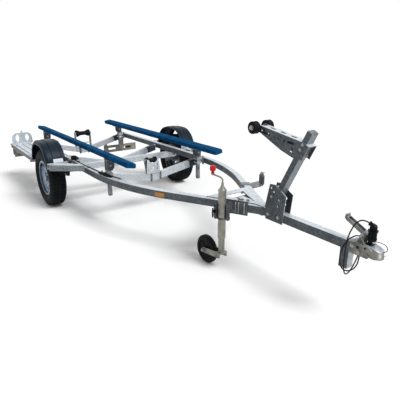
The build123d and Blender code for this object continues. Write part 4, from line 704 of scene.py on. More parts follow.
def makeEndCaps(s):
    mesh = bmesh.new()
    for sign in (-1, 1):
        end = at(s["rearX"], sign * railSettings["y"], railSettings["z"])
        spot = Matrix.Translation(end) @ Matrix.Rotation(math.radians(-90), 4, "Y")
        addPlate(mesh, ringOutline(s["face"], s["face"], 0.008), spot, s["thick"], 0.0015)
        for k in range(s["ribs"]):
            rib = spot @ Matrix.Translation((0, (k - s["ribs"] // 2) * s["ribPitch"], s["thick"]))
            addBar(mesh, rib, (0.038, 0.003, 0.0024), 0.0006)
        for x, foot in zip(s["postX"], s["foot"]):
            under = Matrix.Translation(at(x, sign * s["postY"], foot - 4))
            addPlate(mesh, ringOutline(s["footFace"], s["footFace"], 0.004), under, 0.004, 0.0012)
    return finishPiece("endCaps", mesh, blackPlastic, "frame")


# post clamp hardware
clampSettings = {"postX": (-1020, 870), "strip": (0.031, 0.088), "levels": (447, 483), "crownY": 471,
                 "wide": 58, "inside": 0.0315, "spread": 0.0335}
saddleSettings = {"postX": (-1020, 870), "bolt": (21, 490, 556), "lowBolt": (17, 500, 520),
                  "cheek": (21.4, 488, 556), "round": 0.036, "thick": 3.2}


def makePostHoops(s):                         # clamp strips on the rails, and the hoops round each post
    mesh = bmesh.new()
    for sign in (-1, 1):
        for x in s["postX"]:
            plate = railFrame(x, sign, railSettings["z"]) @ Matrix.Translation((0, -sign * s["inside"], 0))
            plate = plate @ Matrix.Rotation(math.radians(90 * sign), 4, "X")
            for side in (-1, 1):
                half = plate @ Matrix.Translation((side * s["spread"], 0, 0))
                addPlate(mesh, ringOutline(*s["strip"], 0.006), half, 0.0045, 0.0008)
            deep = railAt(x)[0] - railSettings["half"] - s["crownY"] - 1
            for z in s["levels"]:
                matrix = Matrix.Translation(at(x, sign * s["crownY"], z))
                matrix = matrix @ Matrix.Rotation(math.radians(180 if sign > 0 else 0), 4, "Z")
                addHoop(mesh, matrix, s["wide"], deep, rod=4.5, nut=9)
    return finishPiece("postHoops", mesh, boltZinc, "frame")


def makeSaddleBolts(s):                       # bolts through the cheeks that hold each bunk
    mesh = bmesh.new()
    for sign in (-1, 1):
        for x in s["postX"]:
            for side in (-1, 1):
                off, y, z = s["bolt"]
                stub = 0.006 if side < 0 else 0.0
                addBolt(mesh, at(x + side * off, sign * y, z), (side, 0, 0), 0.010, stub)
                off, y, z = s["lowBolt"]
                addBolt(mesh, at(x + side * off, sign * y, z), (side, 0, 0), 0.008)
    return finishPiece("saddleBolts", mesh, boltZinc, "frame")


def makeSaddleCheeks(s):                      # rounded cheek plates under each bunk, outside the square ones
    mesh = bmesh.new()
    off, y, z = s["cheek"]
    turns = [math.radians(a) for a in range(180, 361, 15)]
    outline = [(0.040, 0.045), (-0.036, 0.045)]
    outline += [(0.002 + s["round"] * math.cos(a), -0.008 + s["round"] * math.sin(a)) for a in turns]
    for sign in (-1, 1):
        for x in s["postX"]:
            for side in (-1, 1):
                spot = Matrix.Translation(at(x + side * off - (s["thick"] if side < 0 else 0), sign * y, z))
                addPlate(mesh, outline, spot @ axes((0, 1, 0), (0, 0, 1), (1, 0, 0)), s["thick"] / 1000,
                         0.0008)
    return finishPiece("saddleCheeks", mesh, darkSteel, "frame")


# keel roller hardware
keelSettings = {
    "front": {"x": 780, "crown": 36, "bar": -31, "hoopY": (-24, 80), "pin": (765, 515), "end": 65.8},
    "rear": {"x": -1100, "crown": -31, "bar": 31, "hoopY": (-58, 58), "pin": (-1100, 533), "end": 103.8},
    "cut": 389, "bowPin": (2300, 84, 1038),
}


# front bracket ended at the member's upper half, above its hoops
def makeKeelBracket(s):
    mesh = copyOf("keel_bracket_front")
    sliceMesh(mesh, at(0, 0, s["cut"]), (0, 0, 1), clear_inner=True)
    return finishPiece("keelBracketFront", mesh, galvanised, "frame",
                       hides=["keel_bracket_front"])


def makeKeelHoops(s):
    mesh = bmesh.new()
    for member in ("front", "rear"):
        k = s[member]
        way = 1 if k["crown"] > 0 else -1
        for y in k["hoopY"]:
            z = memberPlace(member, y) + 4
            spot = Matrix.Translation(at(k["x"] + k["crown"], y, z))
            addHoop(mesh, spot @ axes((0, 0, -way), (way, 0, 0), (0, -1, 0)), 76, 76, rod=5, nut=10)
            addBar(mesh, Matrix.Translation(at(k["x"] + k["bar"], y, z)), (0.006, 0.026, 0.098))
    return finishPiece("keelHoops", mesh, darkSteel, "frame")


def makePinEnds(s):                           # nuts on the roller pins
    mesh = bmesh.new()
    bowX, bowY, bowZ = s["bowPin"]
    for side in (-1, 1):
        for end in ("front", "rear"):
            x, z = s[end]["pin"]
            addBolt(mesh, at(x, side * s[end]["end"], z), (0, side, 0), 0.013, 0.004)
        addBolt(mesh, at(bowX, side * bowY, bowZ), (0, side, 0), 0.0145, 0.004)
    return finishPiece("pinNuts", mesh, boltZinc, "frame")


makeMemberSleeves(sleeveSettings)
makeEndCaps(capSettings)
makePostHoops(clampSettings)
makeSaddleBolts(saddleSettings)
makeSaddleCheeks(saddleSettings)
makeKeelBracket(keelSettings)
makeKeelHoops(keelSettings)
makePinEnds(keelSettings)
print("sleeves, caps, hoops and pins fitted")


# rollers, by the node that each one covers
rollerSettings = {
    "keel_roller_rear": {"name": "rearKeel", "body": "rear_keel_roller", "place": (-1100, 0, 533),
                         "length": 188, "radius": 44, "waist": 27},
    "keel_roller_front": {"name": "frontKeel", "body": "front_keel_roller", "place": (765, 0, 515),
                          "length": 112, "radius": 34, "waist": 22},
    "bow_roller_left": {"name": "leftBow", "body": "left_bow_roller", "place": (2300, 61.5, 1038),
                        "length": 45, "radius": 42, "waist": 40},
    "bow_roller_right": {"name": "rightBow", "body": "right_bow_roller", "place": (2300, -61.5, 1038),
                         "length": 45, "radius": 42, "waist": 40},
}


# soft roller: flared, ribbed at its ends, with a hard bush round the pin
def makeRoller(node, s):
    half, r, w = s["length"] / 2000, s["radius"] / 1000, s["waist"] / 1000
    matrix = frameOf(at(*s["place"]), (0, 1, 0))
    flare = min(0.017, half * 0.5)
    right = [(w, 0.0), (w, half * 0.3)]
    for k in range(1, 6):
        t = k / 6
        right.append((w + (r - w) * (3 * t * t - 2 * t ** 3), half * 0.3 + (half * 0.7 - flare) * t))
    right.append((r - 0.0012, half - flare))
    ribs = 2 if half > 0.03 else 1
    for k in range(ribs):
        a = half - flare + flare * (k + 0.3) / ribs
        right += [(r, a - 0.0016), (r - 0.0022, a), (r - 0.0022, a + 0.001), (r, a + 0.0026)]
    right += [(r, half - 0.004), (r - 0.0012, half - 0.0014), (r - 0.004, half), (r * 0.62, half),
              (r * 0.58, half - 0.003), (0.0125, half - 0.003)]
    mesh = bmesh.new()
    addTurned(mesh, [(a, -b) for a, b in reversed(right)] + right[1:], matrix, 48)
    finishPiece(s["name"] + "Rubber", mesh, rollerRubber, s["body"], 28, hides=[node])
    bush = bmesh.new()
    profile = [(0.0082, -half - 0.001), (0.0122, -half - 0.001), (0.0122, half + 0.001),
               (0.0082, half + 0.001)]
    addTurned(bush, profile, matrix, 24)
    return finishPiece(s["name"] + "Bush", bush, boltZinc, s["body"])


for rollerNode, settings in rollerSettings.items():
    makeRoller(rollerNode, settings)
print("rollers turned")


# fender trim; a dark strip for a groove's shade is given by its near edge, its far edge and how far it stands
# proud
fenderSettings = {"corner": 230.6, "centreX": 49.0, "centreZ": 453.7, "pad": (718, 812), "padTurn": (7, 22),
                  "padThick": 1.2, "grooveShadeStrips": ((724, 733, 4.7), (810.5, 818, 1.3)), "grooveTurn": 26}
fenderBoltSettings = {"frontX": 283.6, "frontZ": 478, "rearX": -283.6, "rearZ": 460, "edgeY": (712, 868),
                      "stripX": -302, "stripY": (730, 846), "stripZ": 484, "railY": 617,
                      "stay": ((498, 478), (536, 478)), "bracket": ((-315, 462), (-292, 462)),
                      "buffer": (412, 452), "bufferY": (715, 741)}


def addWrap(mesh, s, sign, near, far, angles, proud):          # thin sheet bent round the fender's crown
    r = s["corner"] + proud
    grid = []
    for a in angles:
        turn = math.radians(a)
        x = (s["centreX"] if a <= 90 else -s["centreX"]) + r * math.cos(turn)
        z = s["centreZ"] + r * math.sin(turn)
        grid.append([mesh.verts.new(at(x, sign * y, z)) for y in (near, far)])
    faces = [mesh.faces.new((a[0], a[1], b[1], b[0])) for a, b in zip(grid, grid[1:])]
    bmesh.ops.solidify(mesh, geom=faces, thickness=-proud / 1000)


# blank pale pad on each front curve, and dark rubber strips over the crown that stand for the shade in its
# grooves: painted shade
def makeFenderPads(s):
    pads = bmesh.new()
    grooveShadeStrips = bmesh.new()
    first, last = s["padTurn"]
    padTurns = [first + (last - first) * k / 6 for k in range(7)]
    rise = [s["grooveTurn"] + 4 * k for k in range(16)]
    # past 90 the sheet bends round the rear corner, so the flat top lies between these two
    grooveTurns = rise + [90, 90.01] + [180 - a for a in reversed(rise)]
    for sign in (-1, 1):
        addWrap(pads, s, sign, *s["pad"], padTurns, s["padThick"])
        for near, far, proud in s["grooveShadeStrips"]:
            addWrap(grooveShadeStrips, s, sign, near, far, grooveTurns, proud)
    finishPiece("fenderGrooveShade", grooveShadeStrips, rollerRubber, "frame")
    return finishPiece("blankPads", pads, palePad, "frame")


# bolts of the stays and strips, and a rubber buffer under each stay
def makeFenderBolts(s):
    mesh = bmesh.new()
    dark = bmesh.new()
    outline = [(-0.036, -0.052), (0.036, -0.052), (0.036, 0.006), (0.012, 0.058), (-0.014, 0.058),
               (-0.036, 0.022)]
    near, far = s["bufferY"]
    bufferX, bufferZ = s["buffer"]
    for sign in (-1, 1):
        for y in s["edgeY"]:
            addBolt(mesh, at(s["frontX"], sign * y, s["frontZ"]), (1, 0, 0), 0.010, 0.004)
            addBolt(mesh, at(s["rearX"], sign * y, s["rearZ"]), (-1, 0, 0), 0.010, 0.004)
        for y in s["stripY"]:
            addBolt(mesh, at(s["stripX"], sign * y, s["stripZ"]), (0, 0, 1), 0.009)
        for x, z in s["stay"]:
            addBolt(mesh, at(x, sign * s["railY"], z), (0, sign, 0), 0.011, 0.005)
        for x, z in s["bracket"]:
            addBolt(mesh, at(x, sign * s["railY"], z), (0, sign, 0), 0.010, 0.004)
        spot = Matrix.Translation(at(bufferX, near if sign > 0 else -far, bufferZ))
        addPlate(dark, outline, spot @ axes((1, 0, 0), (0, 0, -1), (0, 1, 0)), (far - near) / 1000, 0.003)
    finishPiece("fenderBolts", mesh, boltZinc, "frame")
    return finishPiece("stayBuffers", dark, rollerRubber, "frame")


makeFenderPads(fenderSettings)
makeFenderBolts(fenderBoltSettings)
print("fenders trimmed")


# wiring along the right rail
wiringSettings = {"start": (178, 574, 482), "end": (1150, 508, 492), "z": 499.5, "radius": 4.2,
                  "stops": ((196, 583), (241, 588), (524, 591), (737, 577), (931, 563), (1121, 526)),
                  "clips": (330, 610, 860, 1060)}
grommetSettings = {"loop": (238, 584, 500), "long": 0.058, "wide": 0.032, "sway": 0.016,
                   "cup": (196, 583, 496)}


def rightSide(x, y, z):                       # the same place on the right
    return at(x, -y, z)


def makeConduit(s):
    mesh = bmesh.new()
    points = [rightSide(*s["start"])] + [rightSide(x, y, s["z"]) for x,
                                         y in s["stops"]] + [rightSide(*s["end"])]
    addTube(mesh, rounded(points, 0.06, 6), s["radius"] / 1000, 12)
    for x in s["clips"]:
        inward = (railSettings["y"] - railAt(x)[0]) / 8000
        clip = railFrame(x, -1, railSettings["top"]) @ Matrix.Translation((0, inward - 0.004, 0.0052))
        addBar(mesh, clip, (0.012, 0.026, 0.0085), 0.002)
    return finishPiece("conduit", mesh, blackPlastic, "frame")


def makeGrommet(s):                           # loose loop of spare wire and the rubber cup beside it
    mesh = bmesh.new()
    centre = rightSide(*s["loop"])
    loop = []
    for k in range(40):
        a = 2 * math.pi * k / 40
        lift = 0.006 + s["sway"] * math.sin(a * 2 + 0.6)
        loop.append(centre + Vector((s["long"] * math.cos(a) - 0.01, s["wide"] * math.sin(a), lift)))
    addTube(mesh, loop + loop[:1], 0.0035, 10)
    cup = [(0.0, 0.0), (0.026, 0.0), (0.03, 0.004), (0.03, 0.026), (0.027, 0.034), (0.021, 0.036),
           (0.017, 0.03), (0.0, 0.029)]
    addTurned(mesh, cup, frameOf(rightSide(*s["cup"]), (0.15, 0, 1)), 28, closed=False)
    return finishPiece("grommet", mesh, rollerRubber, "frame")


makeConduit(wiringSettings)
makeGrommet(grommetSettings)
print("wiring laid")


# winch stand hardware
standSettings = {"foot": (2428, 495), "lean": 26.9, "face": 35,
                 "holes": ((42, 101, 10), (18, -29, 12), (112, -29, 12)),
                 "postFace": 34, "armBolts": (520, 556), "seatBolts": (488, 552), "seatY": (-20, 20),
                 "postTop": (2736.3, 0, 1058.5), "lid": (0.061, 0.041), "raised": (0.047, 0.027),
                 "armAhead": 20, "seatAhead": 45}
armSettings = {"face": 34, "slots": ((2353, 1014, 2396, 1005, 7.0), (2575, 982, 2621, 976, 8.0)),
               "holes": ((2418, 1001, 5.5), (2457, 993, 5.0), (2499, 988, 5.0), (2545, 983, 6.0))}


def makeArmSlots(s):                          # dark plates and buttons in the bow arm's slots and holes, standing for the shade inside them: painted shade
    mesh = bmesh.new()
    for side in (-1, 1):
        for x0, z0, x1, z1, half in s["slots"]:
            length = math.hypot(x1 - x0, z1 - z0)
            tilt = math.atan2(z1 - z0, x1 - x0)
            middle = at((x0 + x1) / 2, side * s["face"] - 0.6, (z0 + z1) / 2)
            turned = Matrix.Rotation(-tilt, 4, "Y") @ Matrix.Rotation(math.radians(-90), 4, "X")
            spot = Matrix.Translation(middle) @ turned
            outline = ringOutline((length + half) / 1000, half * 2 / 1000, half * 0.9 / 1000, 4)
            addPlate(mesh, outline, spot, 0.0012, 0.0004)
        for x, z, r in s["holes"]:
            k = r / 1000
            button = [(0.0, -0.0005), (0.0, 0.0004), (k * 0.84, 0.0004), (k * 0.9, 0.0008), (k, 0.0008),
                      (k, -0.0005)]
            addTurned(mesh, button, frameOf(at(x, side * s["face"], z), (0, side, 0)), 18)
    return finishPiece("armSlotShade", mesh, blackPlastic, "frame")


def postPlace(s, up, y, ahead):               # a place by its way up the leaning post and ahead of its middle
    lean = math.radians(s["lean"])
    x = s["foot"][0] + up * math.sin(lean) + ahead * math.cos(lean)
    return at(x, y, s["foot"][1] + up * math.cos(lean) - ahead * math.sin(lean))


def makeStandBolts(s):
    mesh = bmesh.new()
    for x, z, size in s["holes"]:
        for side in (-1, 1):
            spot = at(s["foot"][0] + x, side * s["face"], s["foot"][1] + z)
            addBolt(mesh, spot, (0, side, 0), size / 1000, 0.004 if side > 0 else 0.0)
    for up in s["armBolts"]:
        for side in (-1, 1):
            addBolt(mesh, postPlace(s, up, side * s["postFace"], s["armAhead"]), (0, side, 0), 0.010, 0.004)
    lean = math.radians(s["lean"])
    for up in s["seatBolts"]:
        for y in s["seatY"]:
            addBolt(mesh, postPlace(s, up, y, s["seatAhead"]), (math.cos(lean), 0, -math.sin(lean)), 0.008,
                    0.003)
    return finishPiece("standBolts", mesh, boltZinc, "frame")


def makePostCap(s):                           # pressed lid on the open top of the winch post
    lean = math.radians(s["lean"])
    up = (math.sin(lean), 0, math.cos(lean))
    spot = Matrix.Translation(at(*s["postTop"])) @ axes((0, 1, 0), (-math.cos(lean), 0, math.sin(lean)), up)
    mesh = bmesh.new()
    addPlate(mesh, ringOutline(*s["lid"], 0.004), spot, 0.0028, 0.0009)
    addPlate(mesh, ringOutline(*s["raised"], 0.005), spot @ Matrix.Translation((0, 0, 0.0024)), 0.0016,
             0.0008)
    return finishPiece("postCap", mesh, postZinc, "frame")


makeArmSlots(armSettings)
makeStandBolts(standSettings)
makePostCap(standSettings)
print("winch stand bolted")


# coupling hardware
couplingSettings = {"face": 35, "bolts": ((3106, 479), (3146, 452)), "latch": (3154, 21.4, 560)}
plugSettings = {"base": (3195, 0, 530.3), "ribs": 18, "outlet": (-0.66, -0.55, 0.51), "outletUp": 0.088,
                "outletOut": 0.0195,
                "rows": ((0.0222, 0.036, (0.0022, 0.0032, 0.030), 0.0006),
                         (0.0192, 0.076, (0.0018, 0.0028, 0.017), 0.0005))}
safetyWireSettings = {
    "radius": 0.0018,
    "route": ((3190, -38, 462), (3219, -39, 448), (3240, -36, 443), (3266, -26, 452), (3283, -10, 470),
              (3284, 12, 474), (3262, 32, 452), (3222, 39, 446), (3190, 38, 462)),
}


def makeCouplingBolts(s):
    mesh = bmesh.new()
    latchX, latchY, latchZ = s["latch"]
    for side in (-1, 1):
        for x, z in s["bolts"]:
            addBolt(mesh, at(x, side * s["face"], z), (0, side, 0), 0.012, 0.005 if side > 0 else 0.0)
        addBolt(mesh, at(latchX, side * latchY, latchZ), (0, side, 0), 0.010, 0.003)
    return finishPiece("couplingBolts", mesh, boltZinc, "frame")


def makePlugDress(s):                         # ribs, lid and gland nut on the plug
    mesh = bmesh.new()
    base = at(*s["base"])
    for k in range(s["ribs"]):
        a = 2 * math.pi * k / s["ribs"]
        for r, up, size, edge in s["rows"]:
            spot = Matrix.Translation(base + Vector((r * math.cos(a), r * math.sin(a), up)))
            addBar(mesh, spot @ Matrix.Rotation(a, 4, "Z"), size, edge)
    away = Vector(s["outlet"]).normalized()
    nut = frameOf(base + Vector((0, 0, s["outletUp"])) + away * s["outletOut"], away)
    profile = [(0.0, 0.0), (0.0138, 0.0), (0.0142, 0.001), (0.0142, 0.0062), (0.0132, 0.0072), (0.0, 0.0072)]
    addTurned(mesh, profile, nut, 8, closed=False)
    return finishPiece("plugRibs", mesh, blackPlastic, "frame")


def makeSafetyWire(s):
    mesh = bmesh.new()
    addTube(mesh, rounded([at(*spot) for spot in s["route"]], 0.02, 6), s["radius"], 8)
    return finishPiece("safetyWire", mesh, boltZinc, "frame")


makeCouplingBolts(couplingSettings)
makePlugDress(plugSettings)
makeSafetyWire(safetyWireSettings)
print("coupling bolted")


# jockey clamp hardware
jockeySettings = {"x": 2210, "y": -250, "hoops": (58, 82, 126), "jawX": (-36, 112), "jawZ": (36, -36),
                  "hoopSize": (74, 88), "strap": -54, "strapRadius": 33.5, "earX": 0.0465, "earTall": 0.092,
                  "ears": ((-0.001, 0.009), (-0.0115, 0.007)), "earBolts": (-34, 34),
                  "handle": (-48, -15, -6),
                  "lugs": (-36, 36)}


# the jockey tube's middle: X forward along the right rail, -Y outward
def tubeFrame(s):
    spot = Matrix.Translation(at(s["x"], s["y"], railSettings["z"]))
    return spot @ Matrix.Rotation(math.radians(railSettings["angle"]), 4, "Z")


def clampFrame(s):                            # the same turning, moved onto the rail's own line
    turn = math.radians(railSettings["angle"])
    railY = railAt(s["x"])[0]
    along = Vector((math.cos(turn), math.sin(turn)))
    seat = Vector((s["x"], -railY)) + along * Vector((0.0, s["y"] + railY)).dot(along)
    return Matrix.Translation(at(seat.x, seat.y, railSettings["z"])) @ Matrix.Rotation(turn, 4, "Z")


# the bracket with its collar open in front, ears and a strap round the tube
def makeJockeyClamp(s):
    tube = tubeFrame(s)
    out = tube.to_3x3() @ Vector((0, -1, 0))
    mesh = copyOf("jockey_clamp")
    sliceMesh(mesh, local(tube, 0, 2, 0), out, clear_outer=True)
    for side in (-1, 1):
        for y, deep in s["ears"]:
            ear = tube @ Matrix.Translation((side * s["earX"], y, 0))
            addBar(mesh, ear, (0.023, deep, s["earTall"]), 0.002)
        for z in s["earBolts"]:
            addBolt(mesh, local(tube, side * 50, -15, z), out, 0.0085, 0.004)
    r, z = s["strapRadius"], s["strap"]
    turns = [math.radians(a) for a in range(0, 181, 12)]
    sweep = [local(tube, r * math.cos(a), -r * math.sin(a), z) for a in turns]
    addTube(mesh, [local(tube, r, 45, z)] + sweep + [local(tube, -r, 45, z)], 0.0046, 12)
    for side in (-1, 1):
        addBolt(mesh, local(tube, side * 46, -4, z), out, 0.0125)
        addBar(mesh, tube @ Matrix.Translation((side * 0.044, 0.008, z / 1000)), (0.022, 0.020, 0.020), 0.003)
    return finishPiece("jockeyClamp", mesh, darkSteel, "frame", hides=["jockey_clamp"])


def makeJockeyHardware(s):                    # hoops round the rail, jaw bolts and the turning handle
    mesh = bmesh.new()
    dark = bmesh.new()
    clamp = clampFrame(s)
    for x in s["hoops"]:
        matrix = clamp @ Matrix.Translation((x / 1000, -0.0415, 0)) @ axes((0, 0, 1), (0, -1, 0), (1, 0, 0))
        addHoop(mesh, matrix, *s["hoopSize"], rod=4.5, nut=9)
        addBar(mesh, clamp @ Matrix.Translation((x / 1000, 0.033, 0)), (0.022, 0.005, 0.096))
    for x in s["jawX"]:
        for z in s["jawZ"]:
            addBolt(mesh, local(clamp, x, -14, z), (0, 0, 1 if z > 0 else -1), 0.009, 0.004)
    tube = tubeFrame(s)
    out = tube.to_3x3() @ Vector((0, -1, 0))
    stem = local(tube, *s["handle"])
    addTurned(dark, [(0.0, 0.0), (0.012, 0.0), (0.0125, 0.001), (0.0125, 0.012), (0.0, 0.013)],
              frameOf(stem, out), 6, closed=False)
    addTube(dark, [stem, stem + out * 0.036], 0.006, 14)
    grip = [local(tube, -48, -51, -40), local(tube, -48, -55, -6), local(tube, -48, -51, 28)]
    addTube(dark, rounded(grip, 0.03, 4), 0.0052, 12)
    for z in s["lugs"]:
        addBar(dark, tube @ Matrix.Translation((-0.044, 0.018, z / 1000)), (0.016, 0.024, 0.024), 0.002)
        addBolt(dark, local(tube, -44, 30, z), -out, 0.009, 0.005)
    finishPiece("jockeyHoops", mesh, boltZinc, "frame")
    return finishPiece("jockeyHandle", dark, blackPlastic, "frame")


makeJockeyClamp(jockeySettings)
makeJockeyHardware(jockeySettings)
print("jockey clamp fitted")


# coupling dress
noseSettings = {"from": 3215, "to": 3275, "drop": 23, "hold": 488, "top": 507, "step": 8, "curve": 1.6}
dressSettings = {
    "face": 35, "holeShades": ((3138, 479, 7.0), (3183, 488, 5.5)), "wireRadius": 0.0021, "bailRadius": 0.0024,
    "bail": ((3141, 24, 546), (3157, 30, 530), (3176, 38, 515), (3200, 39, 505), (3222, 38, 493)),
    "wire": ((3196, -16, 534), (3226, -16, 541), (3254, -8, 541), (3280, -2, 533), (3291, 0, 518),
             (3287, 0, 500), (3270, 0, 489)),
    "cup": (3195, 0, 526.5), "stalk": (3186, 0, 517), "foot": (3190, 0, 507.2),
}


def makeCouplingBody(s):                      # the casting with its nose drawn down toward the tip
    mesh = copyOf("coupling_body")
    for x in range(s["from"], s["to"], s["step"]):
        sliceMesh(mesh, at(x, 0, 0), (1, 0, 0))
    for vert in mesh.verts:
        ahead = ((vert.co.x + middleX) * 1000 - s["from"]) / (s["to"] - s["from"])
        above = (vert.co.z * 1000 - s["hold"]) / (s["top"] - s["hold"])
        if ahead > 0 and above > 0:
            vert.co.z -= s["drop"] / 1000 * ahead ** s["curve"] * min(above, 1)
    return finishPiece("couplingBody", mesh, couplingZinc, "frame", hides=["coupling_body"])


# dark rimmed discs over the casting's holes, standing for the shade inside them: painted shade
def makeCouplingHoleShade(s):
    mesh = bmesh.new()
    for side in (-1, 1):
        for x, z, r in s["holeShades"]:
            k = r / 1000
            profile = [(0.0, 0.0003), (k * 0.8, 0.0003), (k * 0.86, 0.0009), (k * 1.1, 0.0009),
                       (k * 1.2, 0.0)]
            addTurned(mesh, profile, frameOf(at(x, side * s["face"], z), (0, side, 0)), 20, closed=False)
    return finishPiece("couplingHoleShade", mesh, blackPlastic, "frame")


def makePullWire(s):
    mesh = bmesh.new()
    addTube(mesh, rounded([at(*spot) for spot in s["wire"]], 0.02, 6), s["wireRadius"], 8)
    return finishPiece("pullWire", mesh, sheath, "frame")


def makePlugCup(s):                           # the cup that the plug is parked in, on its stalk and foot
    mesh = bmesh.new()
    profile = [(0.0, 0.0), (0.012, 0.0), (0.020, 0.002), (0.0245, 0.007), (0.026, 0.013), (0.0265, 0.019),
               (0.0255, 0.0215), (0.0, 0.0215)]
    addTurned(mesh, profile, frameOf(at(*s["cup"]), (0, 0, 1)), 36, closed=False)
    addBar(mesh, Matrix.Translation(at(*s["stalk"])), (0.014, 0.022, 0.022), 0.002)
    addPlate(mesh, ringOutline(0.044, 0.040, 0.008), Matrix.Translation(at(*s["foot"])), 0.004, 0.001)
    return finishPiece("plugCup", mesh, blackPlastic, "frame", hides=["plug_holder"])


def makeBail(s):                              # bent rod down each side, with a button at both ends
    mesh = bmesh.new()
    low = [(0.0, 0.0), (0.006, 0.0), (0.0065, 0.001), (0.0065, 0.0045), (0.0, 0.006)]
    high = [(0.0, 0.0), (0.008, 0.0), (0.0085, 0.001), (0.0085, 0.004), (0.0, 0.005)]
    (topX, topY, topZ), (tipX, tipY, tipZ) = s["bail"][0], s["bail"][-1]
    for side in (-1, 1):
        addTube(mesh, rounded([at(x, side * y, z) for x, y, z in s["bail"]], 0.01, 4), s["bailRadius"], 10)
        addTurned(mesh, low, frameOf(at(tipX, side * (tipY - 3.5), tipZ), (0, side, 0)), 16, closed=False)
        addTurned(mesh, high, frameOf(at(topX, side * (topY - 2.5), topZ), (0, side, 0)), 16, closed=False)
    return finishPiece("couplingBail", mesh, hubZinc, "frame")


makeCouplingBody(noseSettings)
makeCouplingHoleShade(dressSettings)
makePullWire(dressSettings)
makePlugCup(dressSettings)
makeBail(dressSettings)
print("coupling dressed")


# axle hangers
hangerSettings = {"x": (146, 234), "y": 613, "z": 470}


def makeHangerBolts(s):
    mesh = bmesh.new()
    for side in (-1, 1):
        for x in s["x"]:
            addBolt(mesh, at(x, side * s["y"], s["z"]), (0, side, 0), 0.012, 0.005)
    return finishPiece("hangerBolts", mesh, boltZinc, "frame")


makeHangerBolts(hangerSettings)
print("hangers bolted")


# lamp lenses
lampSettings = {"places": ({"x": -1181, "z": 266, "red": 697, "amber": 769, "screw": 741},
                           {"x": -1310, "z": 350, "red": -753, "amber": -825, "screw": -797}),
                "high": 0.072, "wide": {"red": 0.084, "amber": 0.052}, "thick": 0.006, "ribPitch": 0.009,
                "screwZ": (-28, 28)}


def makeLens(s, colour, finish):
    mesh = bmesh.new()
    wide = s["wide"][colour]
    for lamp in s["places"]:
        spot = Matrix.Translation(at(lamp["x"] + 0.5, lamp[colour], lamp["z"]))
        spot = spot @ axes((0, -1, 0), (0, 0, 1), (-1, 0, 0))
        addPlate(mesh, ringOutline(wide, s["high"], 0.009, 4), spot, s["thick"], 0.0016)
        for rib in range(-3, 4):
            line = spot @ Matrix.Translation((0, rib * s["ribPitch"], s["thick"]))
            addBar(mesh, line, (wide - 0.016, 0.0022, 0.0012), 0.0005)
    return finishPiece(colour + "Lenses", mesh, finish, "frame")


def makeLensScrews(s):
    mesh = bmesh.new()
    profile = [(0.0, 0.0), (0.0045, 0.0), (0.0045, 0.0015), (0.003, 0.0026), (0.0, 0.0028)]
    for lamp in s["places"]:
        for z in s["screwZ"]:
            spot = at(lamp["x"] - 5, lamp["screw"], lamp["z"] + z)
            addTurned(mesh, profile, frameOf(spot, (-1, 0, 0)), 14, closed=False)
    return finishPiece("lensScrews", mesh, boltZinc, "frame")


makeLens(lampSettings, "red", redLens)
makeLens(lampSettings, "amber", amberLens)
makeLensScrews(lampSettings)
print("lamps glazed")


# jockey wheel
jockeyWheelSettings = {"place": (2040, -250, 108), "radius": 108, "half": 25, "pin": 42, "spokes": 6}


def makeJockeyWheel(s):                       # hub ring, rim ring and spokes on both faces
    mesh = bmesh.new()
    r, h = s["radius"] / 1000, s["half"] / 1000
    hub = [(0.0125, h + 0.0005), (0.0225, h + 0.0005), (0.0225, h - 0.002), (0.012, h - 0.004)]
    ring = [(r - 0.033, h - 0.0005), (r - 0.031, h + 0.0004), (r - 0.028, h + 0.0004),
            (r - 0.026, h - 0.0008), (r - 0.0295, h - 0.003)]
    for side in (-1, 1):
        face = frameOf(at(*s["place"]), (0, side, 0))
        addTurned(mesh, hub, face, 28)
        addTurned(mesh, ring, face, 48)
        for k in range(s["spokes"]):
            turn = Matrix.Rotation(2 * math.pi * k / s["spokes"], 4, "Z")
            spoke = face @ turn @ Matrix.Translation((0.047, 0, h - 0.0086))
            addBar(mesh, spoke, (0.048, 0.007, 0.006), 0.0015)
    return finishPiece("jockeySpokes", mesh, rollerRubber, "jockey_roller")


def makeJockeyNuts(s):
    mesh = bmesh.new()
    x, y, z = s["place"]
    for side in (-1, 1):
        addBolt(mesh, at(x, y + side * s["pin"], z), (0, side, 0), 0.0125, 0.004)
    return finishPiece("jockeyPinNuts", mesh, boltZinc, "jockey_swivel")


makeJockeyWheel(jockeyWheelSettings)
makeJockeyNuts(jockeyWheelSettings)
print("jockey wheel finished")


# spare carrier
carrierSettings = {"railX": 1900, "hoops": (-20, 20), "x": 1922, "y": 410, "z": 518, "studs": (-50, 50)}


# hoops round the rail, and studs with a nut on each face of the plate
def makeCarrierDress(s):
    mesh = bmesh.new()
    rail = railFrame(s["railX"], 1, railSettings["z"])
    for along in s["hoops"]:
        spot = rail @ Matrix.Translation((along / 1000, 0.0375, 0))
        addHoop(mesh, spot @ axes((0, 0, -1), (0, 1, 0), (1, 0, 0)), 77, 84, rod=4, nut=8)
    for off in s["studs"]:
        x, y, z = s["x"], s["y"], s["z"] + off
        addTube(mesh, [at(x, y - 4, z), at(x, y + 26, z)], 0.0052, 14)
        addBolt(mesh, at(x, y, z), (0, 1, 0), 0.0115)
        addBolt(mesh, at(x, y - 6, z), (0, -1, 0), 0.0105)
    return finishPiece("carrierHardware", mesh, boltZinc, "frame")


makeCarrierDress(carrierSettings)
print("spare carrier bolted")


